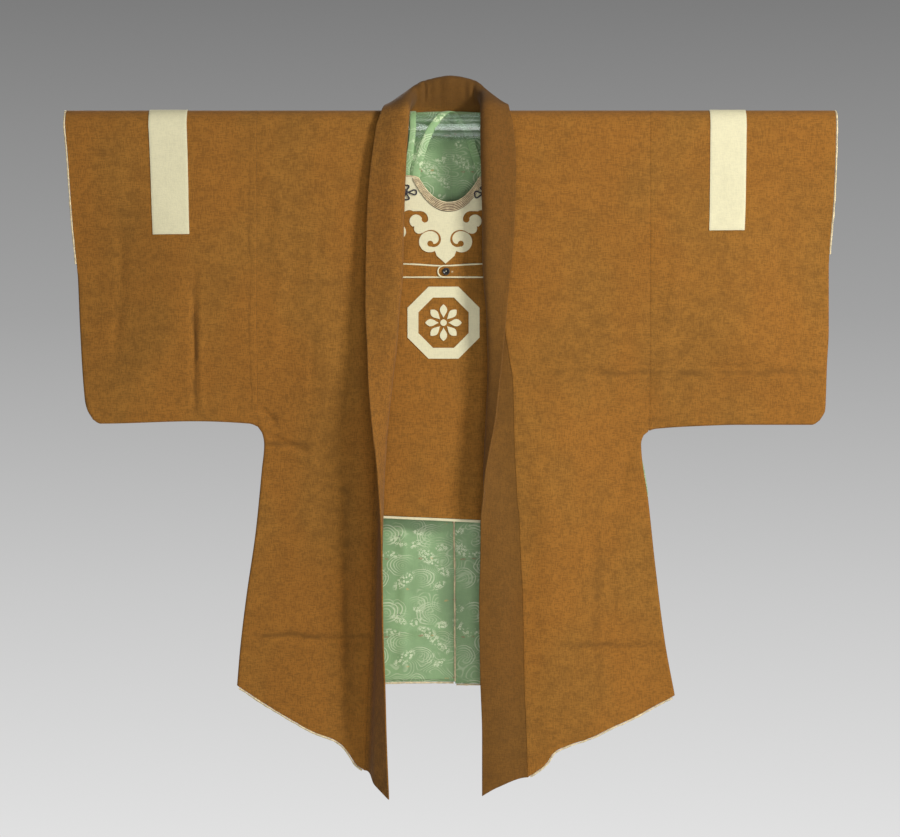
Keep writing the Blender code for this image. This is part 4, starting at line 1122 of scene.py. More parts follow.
def silk_look(name, colour, light):
    """Damask: pale waves, foam and small coloured figures woven in a green ground."""
    sizes = bpy.context.scene.fire_jacket
    look = Look(name, Roughness=0.5, Sheen_Weight=0.25, Sheen_Roughness=0.35, Specular_IOR_Level=0.45)
    lines, x, z = pattern(look)
    slub = look.noise(0.8, 2.0, (1.0, 1.0, 14.0))
    weft = look.noise(0.7, 2.0, (12.0, 1.0, 1.0))
    stain = look.noise(60.0, 4.0)
    # light scales every colour of the silk; above 1 it is painted light.
    ground = look.blend(look.step(stain, 0.3, 0.7), shade(colour, 0.86 * light), shade(colour, 1.12 * light))
    ground = look.blend((1.0 - look.step(slub + weft, 0.8, 1.15)) * 0.3, ground, shade(colour, 0.7 * light))
    drawn = lines * look.step(look.noise(9.0, 2.0), 0.18, 0.42)
    tone = look.blend(drawn * 0.9, ground, shade(sizes.figure_colour, light))
    hues = {"rust": (0.33, 0.13, 0.07), "gold": (0.50, 0.34, 0.13), "ink": (0.05, 0.08, 0.06)}
    ragged = look.noise(1.8, 2.0)
    for hue, paint in hues.items():
        spots = None
        for motif in [motif for motif in MOTIFS if motif.hue == hue]:
            across, up = (x - motif.x) / motif.long, (z - motif.z) / motif.wide
            spot = 1.0 - look.step(across * across + up * up, 0.5, 1.1)
            spots = spot if spots is None else look.maths("MAXIMUM", spots, spot)
        tone = look.blend(spots * look.step(ragged, 0.42, 0.55) * 0.75, tone, (*paint, 1.0))
    look.feed("Base Color", tone)
    look.feed("Roughness", 0.56 - lines * 0.14)
    look.bump(lines * 0.6 + (slub + weft) * 0.3, 0.12, 0.6)
    return look


def green_silk():
    return silk_look("green_silk", bpy.context.scene.fire_jacket.silk_colour, 1.0)


def strap_silk():
    # The lining's silk painted 1.3 times lighter, as painted light on the straps.
    return silk_look("strap_silk", bpy.context.scene.fire_jacket.silk_colour, 1.3)


def tan_piping():
    """Silk piping, faded and rubbed, with the wraps of its cord showing through."""
    colour = bpy.context.scene.fire_jacket.piping_colour
    look = Look("tan_piping", Roughness=0.7, Sheen_Weight=0.15)
    wear_and_painted_shade = look.noise(7.0, 4.0)
    ribs = look.noise(0.9, 2.0)
    tone = look.blend(look.step(wear_and_painted_shade, 0.35, 0.68), shade(colour, 0.72), shade(colour, 1.1))
    tone = look.blend(look.step(ribs, 0.60, 0.74) * 0.4, tone, shade(colour, 0.45))
    look.feed("Base Color", tone)
    look.bump(ribs, 0.3, 0.8)
    return look


def quilt_ground():
    """Brown thread rows between the quilted cords."""
    look = Look("quilt_ground", Roughness=0.85)
    stitch = look.noise(1.2, 2.0)
    look.feed("Base Color", look.blend(look.step(stitch, 0.4, 0.62),
                                       (0.06, 0.025, 0.012, 1.0), (0.13, 0.06, 0.03, 1.0)))
    look.bump(stitch, 0.3, 0.8)
    return look


def black_cord():
    """Twisted black silk cord."""
    look = Look("black_cord", Roughness=0.5, Sheen_Weight=0.3)
    twist = look.noise(0.8, 2.0)
    look.feed("Base Color", look.blend(twist, (0.006, 0.005, 0.007, 1.0), (0.035, 0.028, 0.035, 1.0)))
    look.bump(twist, 0.25, 0.9)
    return look


def dark_horn():
    """Polished dark horn, with pale streaks."""
    look = Look("dark_horn", Roughness=0.3)
    streak = look.noise(3.0, 3.0, (1.0, 1.0, 3.0))
    look.feed("Base Color", look.blend(look.step(streak, 0.5, 0.8) * 0.4, (0.012, 0.010, 0.010, 1.0),
                                       (0.12, 0.10, 0.08, 1.0)))
    look.feed("Roughness", streak * 0.2 + 0.25)
    return look


def clear_tube():
    """Clear acrylic: what lies behind shows through, and each wall mirrors the lamps."""
    look = Look("clear_tube", Roughness=0.07, Metallic=1.0)
    look.shader.inputs["Base Color"].default_value = (0.98, 1.0, 0.99, 1.0)
    smear = look.noise(30.0, 3.0, (4.0, 1.0, 1.0))
    look.feed("Roughness", smear * 0.05 + 0.045)
    through = look.node("ShaderNodeBsdfTransparent", {}, {"Color": (0.97, 0.99, 0.98, 1.0)})
    mirror = look.maths("MINIMUM", look.node("ShaderNodeFresnel", {}, {"IOR": 1.5}), 0.22)
    both = look.node("ShaderNodeMixShader", {}, {0: mirror, 1: through})
    mixer = both.socket.node
    look.tree.links.new(look.shader.outputs["BSDF"], mixer.inputs[2])
    look.tree.links.new(both.socket, look.tree.nodes["Material Output"].inputs["Surface"])
    return look


def pale_floor():
    look = Look("pale_floor", Roughness=0.85)
    dust = look.noise(400.0, 3.0)
    look.feed("Base Color", look.blend(dust, (0.66, 0.66, 0.66, 1.0), (0.72, 0.72, 0.72, 1.0)))
    return look


FINISHES = {
    "wool": brown_wool,
    "collar": collar_wool,
    "cream": cream_wool,
    "silk": green_silk,
    "strap": strap_silk,
    "piping": tan_piping,
    "quilt": quilt_ground,
    "cord": black_cord,
    "horn": dark_horn,
    "clear": clear_tube,
    "floor": pale_floor,
}


# Pieces

def keep(name, mesh, finish, *nodes):
    """An object in the scene with its finish, riding on the jacket's body in place of CAD nodes."""
    piece = bpy.data.objects.new(name, mesh)
    bpy.context.scene.collection.objects.link(piece)
    mesh.materials.append(look_for(finish))
    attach(piece, BODY)
    if nodes:
        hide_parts(*nodes)
    return piece


def net(name, points, flip=False):
    """A mesh of a lattice held as {(row, column): point}: faces where four points are neighbours."""
    work = bmesh.new()
    verts = {place: work.verts.new([value * MM for value in point]) for place, point in points.items()}
    for row, column in points:
        corners = [(row, column), (row, column + 1), (row + 1, column + 1), (row + 1, column)]
        if all(corner in verts for corner in corners):
            face = work.faces.new([verts[corner] for corner in corners])
            face.smooth = True
            if flip:
                face.normal_flip()
    mesh = bpy.data.meshes.new(name)
    work.to_mesh(mesh)
    work.free()
    return mesh


def cloth(name, points, wall, finish, offset, flip=False, inside=None, nodes=()):
    """A cloth wall on a lattice, with softened cut edges and a finish of its own inside if asked."""
    piece = keep(name, net(name, points, flip), finish, *nodes)
    solidify = piece.modifiers.new("wall", "SOLIDIFY")
    solidify.thickness = wall * MM
    solidify.offset = offset
    solidify.use_even_offset = True
    if inside:
        piece.data.materials.append(look_for(inside))
        solidify.material_offset = 1
        solidify.material_offset_rim = 0
    bevel = piece.modifiers.new("soft edge", "BEVEL")
    bevel.width = 0.3 * wall * MM
    bevel.segments = 2
    bevel.limit_method = "ANGLE"
    bevel.angle_limit = math.radians(50.0)
    return piece


def curve_mesh(name, curve, matrix=None):
    """A curve turned into a mesh in its place."""
    helper = bpy.data.objects.new(name, curve)
    bpy.context.scene.collection.objects.link(helper)
    bpy.context.view_layer.update()
    ready = helper.evaluated_get(bpy.context.evaluated_depsgraph_get())
    mesh = bpy.data.meshes.new_from_object(ready)
    bpy.data.objects.remove(helper)
    bpy.data.curves.remove(curve)
    if matrix:
        mesh.transform(matrix)
    mesh.materials.clear()
    mesh.name = name
    return mesh


def cords(name, paths, radius, finish, nodes=(), cyclic=False, uneven=0.0, sides=2):
    """Round cords or piping along their centre lines, a little uneven in thickness if asked."""
    curve = bpy.data.curves.new(name, "CURVE")
    curve.dimensions = "3D"
    curve.bevel_depth = radius * MM
    curve.bevel_resolution = sides
    curve.use_fill_caps = True
    for path in paths:
        spline = curve.splines.new("POLY")
        spline.points.add(len(path) - 1)
        spline.use_cyclic_u = cyclic
        for index, (target, point) in enumerate(zip(spline.points, path)):
            target.co = (*[value * MM for value in point], 1.0)
            target.radius = 1.0 + uneven * noise.noise(Vector((index * 0.41, point[0] / 90.0, 4.0)))
    mesh = curve_mesh(name, curve)
    for face in mesh.polygons:
        face.use_smooth = True
    return keep(name, mesh, finish, *nodes)


PLATE_TURN = ((1, 0, 0, 0), (0, 0, -1, 0), (0, 1, 0, 0), (0, 0, 0, 1))


def plate(name, outlines, front, wall, finish, nodes=(), rounding=PATCH_ROUND):
    """A flat piece facing the front with rounded rims; outlines are (x, z) points, later ones openings."""
    curve = bpy.data.curves.new(name, "CURVE")
    curve.dimensions = "2D"
    curve.fill_mode = "BOTH"
    curve.extrude = (wall / 2 - rounding) * MM
    curve.bevel_depth = rounding * MM
    curve.bevel_resolution = 1
    curve.offset = -rounding * MM
    for outline in outlines:
        spline = curve.splines.new("POLY")
        spline.points.add(len(outline) - 1)
        spline.use_cyclic_u = True
        for target, (x, z) in zip(spline.points, outline):
            target.co = (x * MM, z * MM, 0.0, 1.0)
    turn = Matrix.Translation((0.0, (front + wall / 2) * MM, 0.0)) @ Matrix(PLATE_TURN)
    return keep(name, curve_mesh(name, curve, turn), finish, *nodes)


def arc(centre_x, centre_z, radius, start, end, steps):
    """Points along an arc, in degrees from +X towards +Z."""
    angles = [math.radians(mix(start, end, step / steps)) for step in range(steps + 1)]
    return [(centre_x + radius * math.cos(angle), centre_z + radius * math.sin(angle)) for angle in angles]


def lobes(table):
    """Points along the round lobes of a cloud, as a half outline."""
    points = []
    for lobe in table:
        steps = round(abs(lobe.end - lobe.start) / LOBE_STEP)
        points += arc(lobe.away, lobe.z, lobe.radius, lobe.start, lobe.end, steps)
    return points


def softened(points, parts=3):
    """An open line with more points between, on a smooth line."""
    flat = [(x, 0.0, z) for x, z in points]
    made = []
    for index in range(len(flat) - 1):
        near = [flat[max(0, min(len(flat) - 1, index + step))] for step in (-1, 0, 1, 2)]
        made += [between(near, step / parts) for step in range(parts)]
    return [(x, z) for x, _, z in made] + [points[-1]]


def placed(half, centre_x, sign):
    """Points of a half outline on one side of a centre line."""
    return [(centre_x + sign * away, z) for away, z in half]


def beside(path, step):
    """A path moved in its own XZ plane, square to itself."""
    moved = []
    for index, (x, y, z) in enumerate(path):
        before, after = path[max(0, index - 1)], path[min(len(path) - 1, index + 1)]
        across, down = after[0] - before[0], after[2] - before[2]
        length = math.hypot(across, down)
        moved.append((x - step * down / length, y, z + step * across / length))
    return moved


def build_rod():
    """The clear tube: outside, bore and two polished rims."""
    end = ROD_HALF_LENGTH
    profile = [(ROD_RADIUS - ROD_RIM, end), (ROD_RADIUS, end - ROD_RIM),
               (ROD_RADIUS, -end + ROD_RIM), (ROD_RADIUS - ROD_RIM, -end),
               (ROD_BORE + ROD_RIM, -end), (ROD_BORE, -end + ROD_RIM),
               (ROD_BORE, end - ROD_RIM), (ROD_BORE + ROD_RIM, end)]
    work = bmesh.new()
    rings = []
    for side in range(ROD_SIDES):
        angle = 2 * math.pi * side / ROD_SIDES
        rings.append([work.verts.new((x * MM, radius * math.cos(angle) * MM, radius * math.sin(angle) * MM))
                      for radius, x in profile])
    for side in range(ROD_SIDES):
        near, far = rings[side], rings[(side + 1) % ROD_SIDES]
        for index in range(len(profile)):
            after = (index + 1) % len(profile)
            face = work.faces.new((near[index], near[after], far[after], far[index]))
            face.smooth = index in (1, 5)
    bmesh.ops.recalc_face_normals(work, faces=work.faces)
    mesh = bpy.data.meshes.new("clear_rod")
    work.to_mesh(mesh)
    work.free()
    keep("clear_rod", mesh, "clear", "rod")


def build_body():
    sizes = bpy.context.scene.fire_jacket
    for label, side in SIDES.items():
        piece = cloth("jacket_body_" + label, body_lattice(side), sizes.wool_thickness, "wool", -1.0,
                      side.sign > 0, "silk", ["body_" + label])


def build_sleeves():
    sizes = bpy.context.scene.fire_jacket
    for label, side in SIDES.items():
        piece = cloth("jacket_sleeve_" + label, sleeve_lattice(side), sizes.wool_thickness, "wool", -1.0,
                      side.sign > 0, "silk", ["sleeve_" + label])


def build_stripes():
    for label, side in SIDES.items():
        piece = cloth("shoulder_stripe_" + label, stripe_lattice(side), STRIPE_WALL, "cream", 1.0,
                      side.sign > 0, nodes=["stripe_" + label])


def build_collar():
    sizes = bpy.context.scene.fire_jacket
    piece = cloth("jacket_collar", collar_lattice(sizes.wool_thickness), sizes.collar_thickness,
                  "collar", 0.0, nodes=["collar"])


def build_lining():
    """The silk of the back, and the piping up the open edge of its vent."""
    sizes = bpy.context.scene.fire_jacket
    for label, side in SIDES.items():
        piece = cloth("silk_lining_" + label, lining_lattice(side, sizes.wool_thickness), SILK, "silk", -1.0,
                      side.sign > 0, nodes=["lining_" + label])
    inset = sizes.wool_thickness + LINING_GAP + SILK + GAP + PIPING_RADIUS + 1.6
    points = []
    for step in range(41):
        z = mix(VENT_TOP_Z, BACK_HEM[2].z - PIPING_RADIUS, step / 40)
        x = read(CENTRE_SEAM, "z", "x", z) + 1.2 * noise.noise(Vector((z / 60.0, 0.0, 3.0)))
        points.append((x, back_y(LEFT, x, z, -inset), z))
    cords("vent_edge_piping", [points], PIPING_RADIUS, "piping", ["vent_piping"], uneven=0.35)


def cuff_path(side, wool):
    """Up the front of the open cuff, over the tube and down the back."""
    outside = side.sign * (GAP + PIPING_RADIUS)
    end = CUFF_PIPING_END * side.cuff[-1].z / side.corner[-1].z
    front, back = [], []
    for step in range(37):
        x, z = sleeve_spot(side, end * step / 36, 0.0)
        sway = 0.5 * noise.noise(Vector((z / 14.0, 1.0, side.sign)))
        front.append((x + outside + sway, front_y(side, x, z, -wool / 2), z))
        back.append((x + outside + sway, back_y(side, x, z, -wool / 2), z))
    top = [(side.cuff[0].x + outside, *over_tube(step / FOLD_STEPS, -wool / 2))
           for step in range(1, FOLD_STEPS)]
    return list(reversed(front)) + top + back


def build_pipings():
    """Worn piping round the cuffs and along the hems."""
    wool = bpy.context.scene.fire_jacket.wool_thickness
    for label, side in SIDES.items():
        cords("cuff_edge_piping_" + label, [cuff_path(side, wool)], PIPING_RADIUS, "piping",
              ["cuff_piping_" + label], uneven=0.5)
        away = side.sign * (GAP + PIPING_RADIUS)
        front = []
        for step in range(61):
            x, z = front_spot(side, 1.0, mix(0.02, 0.985, step / 60))
            sway = 0.9 * noise.noise(Vector((x / 9.0, 2.0, 0.0)))
            front.append((x, front_y(side, x, z, -wool / 2), z + sway))
        cords("front_hem_edge_" + label, [beside(front, away)], PIPING_RADIUS, "piping",
              ["front_hem_piping_" + label], uneven=0.6)
        back = []
        for step in range(71):
            part = 1.6 * step / 70
            x, z = back_spot(side, 1.0, min(1.0, part + 0.03), max(0.0, (part - 1.0) / 0.62))
            back.append((x, back_y(side, x, z, -wool / 2), z))
        cords("back_hem_edge_" + label, [beside(back, away)], PIPING_RADIUS, "piping",
              ["back_hem_piping_" + label], uneven=0.5)


def build_bib():
    """The wool chest cloth and its bottom binding."""
    piece = cloth("chest_cloth", bib_lattice(), BIB_WALL, "wool", -1.0, nodes=["bib_panel"])
    ends = [BIB_CENTRE_X + sign * BIB_SIDE[0].x for sign in (-1, 1)]
    low = softened([(x, bib_bottom_z(x) - GAP) for x in (ends[0], BIB_CENTRE_X, ends[1])], 12)
    strip = low + [(x, z - BINDING_WIDTH) for x, z in reversed(low)]
    binding = plate("chest_cloth_binding", [strip], BIB_FRONT_Y - GAP, BIB_WALL + 2 * GAP, "cream",
                    ["bib_binding"], 0.9)


def build_yoke():
    """The cream yoke cut as clouds, its scrolls, the side clouds and the shoulder edge."""
    front = BIB_FRONT_Y - GAP - PATCH_WALL
    scoop = neckline(NECKLINE_HALF + 1.0, NECKLINE_DEPTH + 1.0, 40)
    half = softened(YOKE_TIP) + lobes(YOKE_LOBES) + YOKE_WING
    top_right, top_left = [], []
    for step in range(9):
        part = step / 8
        for sign, tops in ((1, top_right), (-1, top_left)):
            inner = NECKLINE_X + sign * (NECKLINE_HALF + 2.0)
            x = mix(YOKE_CENTRE_X + sign * YOKE_REACH * 0.985, inner, part)
            tops.append((x, bib_top_z(x) - 0.8))
    outline = placed(half, YOKE_CENTRE_X, 1) + top_right + list(reversed(scoop)) + list(reversed(top_left))
    outline += list(reversed(placed(half[1:], YOKE_CENTRE_X, -1)))
    plate("cloud_yoke", [outline], front, PATCH_WALL, "cream", ["bib_yoke"])
    cloud = lobes(CLOUD_LOBES) + CLOUD_WING
    path, widths = [], []
    for step in range(SCROLL_STEPS + 1):
        part = step / SCROLL_STEPS
        turn = math.radians(mix(*SCROLL_TURN, part))
        radius = mix(*SCROLL_RADII, part ** SCROLL_CLOSING)
        path.append((SCROLL_CENTRE[0] + radius * math.cos(turn), 0.0,
                     SCROLL_CENTRE[1] + radius * math.sin(turn)))
        widths.append(mix(*SCROLL_WIDTHS, part))
    square = beside(path, 1.0)
    ribbon, under = [[(x + way * (sx - x) * wide, z + way * (sz - z) * wide)
                      for (x, _, z), (sx, _, sz), wide in zip(path, square, widths)] for way in (1, -1)]
    ribbon += reversed(under)
    ball = arc(path[-1][0], path[-1][2], SCROLL_END_RADIUS, 0.0, 350.0, 35)
    inlay_front = front - INLAY_WALL
    for sign, label in ((-1, "left"), (1, "right")):
        plate("side_cloud_" + label, [placed(cloud, YOKE_CENTRE_X, sign)], front, PATCH_WALL,
              "cream", ["bib_cloud_" + label])
        plate("scroll_" + label, [placed(ribbon, YOKE_CENTRE_X, sign)],
              inlay_front, INLAY_WALL, "wool", rounding=0.05)
        plate("scroll_end_" + label, [placed(ball, YOKE_CENTRE_X, sign)],
              inlay_front - 0.04, INLAY_WALL, "wool", rounding=0.05)


def build_neck_band():
    """Rows of cord quilted round the scoop of the chest cloth, and the piping of its top edge."""
    front = BIB_FRONT_Y - 2.0 * (GAP + PATCH_WALL)
    outer = neckline(QUILT_HALF[1], QUILT_DEPTH[1], 48)
    inner = neckline(QUILT_HALF[0] - 0.6, QUILT_DEPTH[0] - 0.6, 48)
    plate("quilted_neck_ground", [outer + list(reversed(inner))], front, PATCH_WALL * 0.8, "quilt",
          ["bib_neck_band"])
    rows = []
    for cord in range(QUILT_CORDS):
        part = (cord + 0.35) / QUILT_CORDS
        line = neckline(mix(*QUILT_HALF, part), mix(*QUILT_DEPTH, part), 60)
        rows.append([(x, front - 0.35 + 0.15 * noise.noise(Vector((x / 6.0, cord, 0.0))), z)
                     for x, z in line])
    cords("quilted_neck_rows", rows, QUILT_CORD, "piping", uneven=0.25, sides=1)
    edges = []
    for sign in (-1, 1):
        start = NECKLINE_X + sign * NECKLINE_HALF
        end = BIB_CENTRE_X + sign * (BIB_SIDE[-1].x - 1.0)
        edges.append([(x, BIB_FRONT_Y - 0.6, bib_top_z(x) + 0.5) for x in
                      (mix(start, end, step / 20) for step in range(21))])
    scoop = [(x, BIB_FRONT_Y - 0.6, z + 0.4) for x, z in neckline(NECKLINE_HALF, NECKLINE_DEPTH, 60)]
    cords("chest_cloth_top_edge", edges + [scoop], 1.3, "piping", uneven=0.3)


def build_medallion():
    """A plain eight-sided frame round a rosette of eight leaves."""
    front = BIB_FRONT_Y - GAP - PATCH_WALL
    half_side = 180.0 / FRAME_SIDES
    rings = [arc(BIB_CENTRE_X, MEDALLION_Z, radius, half_side, 360.0 - half_side, FRAME_SIDES - 1)
             for radius in (FRAME_RADIUS, FRAME_OPENING)]
    plate("medallion_border", rings, front, PATCH_WALL, "cream", ["medallion_frame"])
    leaves = []
    for leaf in range(LEAVES):
        turn = math.radians(leaf * 360.0 / LEAVES)
        outline = []
        for step in range(33):
            part = step / 32
            along = mix(LEAF_START, LEAF_RADIUS, part)
            aside = LEAF_HALF_WIDTH * math.sin(math.pi * part ** 1.35) ** 0.9 if 0.0 < part < 1.0 else 0.0
            outline.append((along, aside))
        outline += [(along, -aside) for along, aside in reversed(outline[1:-1])]
        leaves.append([(BIB_CENTRE_X + along * math.cos(turn) - aside * math.sin(turn),
                        MEDALLION_Z + along * math.sin(turn) + aside * math.cos(turn))
                       for along, aside in outline])
    leaves.append(arc(BIB_CENTRE_X, MEDALLION_Z, ROSETTE_EYE, 0.0, 350.0, 35))
    plate("medallion_leaves", leaves, front, PATCH_WALL, "cream", ["medallion_rosette"])


def belt_top(x):
    return BELT_TOP_Z - BELT_RISE * math.exp(-((x - BIB_CENTRE_X) / BELT_RISE_WIDTH) ** 2)


def belt_outline(left_x, right_x, shrink, round_left):
    """The belt's outline between two places, drawn in by shrink, its left end round if asked."""
    low = BELT_LOW_Z + shrink
    places = [mix(left_x, right_x, step / 24) for step in range(25)]
    turn = []
    if round_left:
        height = belt_top(left_x) - shrink - low
        middle_x = left_x + height / 2 + shrink
        turn = arc(middle_x, low + height / 2, height / 2, 90.0, 270.0, 24)
        places = [x for x in places if x > middle_x + 2.0]
    else:
        places[0] += shrink
    places[-1] = right_x - shrink
    return turn + [(x, low) for x in places] + [(x, belt_top(x) - shrink) for x in reversed(places)]


def build_belt():
    """The belt across the chest cloth: its right end is round and buttons over the left one."""
    left_front = BIB_FRONT_Y - GAP - BELT_WALL
    right_front = left_front - GAP - BELT_WALL
    pieces = (
        ("left", BIB_CENTRE_X - BELT_REACH, BELT_LEFT_END, left_front, False),
        ("right", BELT_RIGHT_END, BIB_CENTRE_X + BELT_REACH, right_front, True),
    )
    for label, start, end, front, rounded_end in pieces:
        face = belt_outline(start, end, BELT_PIPING, rounded_end)
        plate("chest_belt_" + label, [face], front, BELT_WALL, "wool", ["belt_" + label], 0.4)
        rim = [(x, front + BELT_WALL / 2, z) for x, z in face]
        cords("chest_belt_piping_" + label, [rim], BELT_PIPING, "cream", ["belt_binding_" + label],
              cyclic=True, uneven=0.2)


def build_button():
    """A domed button with a sunk face and its thread, and the worked hole beside it."""
    base = BIB_FRONT_Y - 2.0 * (GAP + BELT_WALL)
    work = bmesh.new()
    rings = []
    for radius, depth in BUTTON_PROFILE:
        ring = []
        for side in range(BUTTON_SIDES if radius else 1):
            angle = 2 * math.pi * side / BUTTON_SIDES
            ring.append(work.verts.new(((BUTTON_X + radius * math.cos(angle)) * MM, (base + depth) * MM,
                                        (BUTTON_Z + radius * math.sin(angle)) * MM)))
        rings.append(ring)
    for near, far in zip(rings, rings[1:]):
        for side in range(BUTTON_SIDES):
            after = (side + 1) % BUTTON_SIDES
            corners = [near[side % len(near)], near[after % len(near)],
                       far[after % len(far)], far[side % len(far)]]
            face = work.faces.new(list(dict.fromkeys(corners)))
            face.smooth = True
    bmesh.ops.recalc_face_normals(work, faces=work.faces)
    mesh = bpy.data.meshes.new("belt_button")
    work.to_mesh(mesh)
    work.free()
    keep("belt_button", mesh, "horn", "button")
    thread = [[(BUTTON_X - 1.0 + 0.5 * step, base - 2.7, BUTTON_Z + 0.5 * step) for step in range(4)],
              [(BUTTON_X - 1.0 + 0.5 * step, base - 2.7, BUTTON_Z + 1.0 - 0.5 * step) for step in range(4)]]
    cords("button_thread", thread, 0.45, "cream", sides=1)
    stitches = []
    for index in range(HOLE_STITCHES):
        x = BUTTON_X + HOLE_AWAY + HOLE_WIDTH * index / (HOLE_STITCHES - 1)
        z = BUTTON_Z + 0.9 * (index % 2)
        stitches.append([(x, base - 0.1, z - 2.0), (x, base - 0.25, z + 0.4)])
    cords("buttonhole_stitches", stitches, 0.22, "piping", sides=1)


def build_knots():
    """Black cord knots on the shoulders of the chest cloth: four loops drawn through a tight middle."""
    for knot in KNOTS:
        y = BIB_FRONT_Y - knot.layers * (GAP + PATCH_WALL) - KNOT_CORD
        paths = []
        for loop, (length, wide) in enumerate(KNOT_LOOPS):
            turn = knot.turn + loop * math.pi / 2
            path = []
            for step in range(33):
                part = step / 32
                along = length * math.sin(math.pi * part) ** 0.8 if 0.0 < part < 1.0 else 0.0
                aside = wide * math.sin(2 * math.pi * part) * math.sin(math.pi * part) ** 0.5
                lift = 0.5 * math.cos(2 * math.pi * part)
                path.append((knot.x + along * math.cos(turn) - aside * math.sin(turn), y - lift - 0.4,
                             knot.z + along * math.sin(turn) + aside * math.cos(turn)))
            paths.append(path)
        for turn in range(KNOT_WRAPS):
            slant = turn * math.pi / KNOT_WRAPS
            path = []
            for step in range(17):
                angle = 2 * math.pi * step / 16
                along, aside = WRAP_LONG * math.cos(angle), WRAP_WIDE * math.sin(angle)
                path.append((knot.x + along * math.cos(slant) - aside * math.sin(slant), y - 1.2 - 0.5 * turn,
                             knot.z + along * math.sin(slant) + aside * math.cos(slant)))
            paths.append(path)
        cords("frog_knot_" + knot.label, paths, KNOT_CORD, "cord", ["cord_knot_" + knot.label], uneven=0.15)


def build_straps():
    """The silk neck strap over the tube, and the narrow loop beside it."""
    strap = cloth("neck_strap_silk", strap_lattice(NECK_STRAP), STRAP_WALL, "strap", 0.0,
                  nodes=["neck_strap"])
    loop = cloth("strap_loop_silk", strap_lattice(STRAP_LOOP), STRAP_WALL, "strap", 0.0,
                 nodes=["strap_loop"])


def softbox(name, place, target, width, height, power, colour=(1.0, 1.0, 1.0)):
    """A rectangular lamp that the camera doesn't see."""
    data = bpy.data.lights.new(name, "AREA")
    data.shape = "RECTANGLE"
    data.size = width
    data.size_y = height
    data.energy = power
    data.color = colour
    lamp = bpy.data.objects.new(name, data)
    bpy.context.scene.collection.objects.link(lamp)
    lamp.location = place
    lamp.rotation_euler = (Vector(target) - Vector(place)).to_track_quat("-Z", "Y").to_euler()
    lamp.visible_camera = False


def build_stage():
    """Floor, backdrop, lamps and the camera."""
    scene = bpy.context.scene
    scene.view_settings.view_transform = "Standard"
    work = bmesh.new()
    bmesh.ops.create_circle(work, cap_ends=True, segments=FLOOR_SIDES, radius=FLOOR_RADIUS)
    mesh = bpy.data.meshes.new("floor")
    work.to_mesh(mesh)
    work.free()
    floor = bpy.data.objects.new("floor", mesh)
    floor.location = (0.0, 0.0, FLOOR_Z)
    mesh.materials.append(look_for("floor"))
    scene.collection.objects.link(floor)

    world = bpy.data.worlds.new("backdrop")
    world.use_nodes = True
    scene.world = world
    nodes, links = world.node_tree.nodes, world.node_tree.links
    ray = nodes.new("ShaderNodeTexCoord")
    split = nodes.new("ShaderNodeSeparateXYZ")
    ramp = nodes.new("ShaderNodeValToRGB")
    reach_up = nodes.new("ShaderNodeMapRange")
    links.new(ray.outputs["Generated"], split.inputs[0])
    links.new(split.outputs["Z"], reach_up.inputs["Value"])
    reach_up.inputs["From Min"].default_value = -BACKDROP_REACH
    reach_up.inputs["From Max"].default_value = BACKDROP_REACH
    links.new(reach_up.outputs[0], ramp.inputs["Fac"])
    while len(ramp.color_ramp.elements) < len(BACKDROP_STOPS):
        ramp.color_ramp.elements.new(0.5)
    for stop, (position, value) in zip(ramp.color_ramp.elements, BACKDROP_STOPS):
        stop.position = position
        stop.color = (value, value, value, 1.0)
    links.new(ramp.outputs["Color"], nodes["Background"].inputs["Color"])
    seen = nodes.new("ShaderNodeLightPath")
    strength = nodes.new("ShaderNodeMapRange")
    strength.inputs["To Min"].default_value = BACKDROP_LIGHT
    links.new(seen.outputs["Is Camera Ray"], strength.inputs["Value"])
    links.new(strength.outputs[0], nodes["Background"].inputs["Strength"])

    softbox("front_box", (0.15, -2.2, -0.75), (0.1, 0.0, -0.7), 1.2, 1.2, 16.5)
    softbox("key_box", (2.7, -2.5, 1.1), (0.1, 0.0, -0.7), 0.9, 0.9, 128.0, (1.0, 0.98, 0.95))
    softbox("top_strip", (-0.6, -1.0, 1.8), (0.0, 0.0, -0.3), 2.2, 0.4, 3.5)
    softbox("back_box", (-1.9, 3.4, 1.5), (0.0, 0.0, -0.4), 1.4, 1.4, 120.0)

    data = bpy.data.cameras.new("camera")
    data.sensor_width = SENSOR
    data.lens = SENSOR * -CAMERA_PLACE[1] / PHOTO_WIDTH
    data.clip_end = 60.0
    camera = bpy.data.objects.new("camera", data)
    scene.collection.objects.link(camera)
    camera.location = CAMERA_PLACE
    camera.rotation_euler = (math.pi / 2, 0.0, 0.0)
    scene.camera = camera


# The add-on

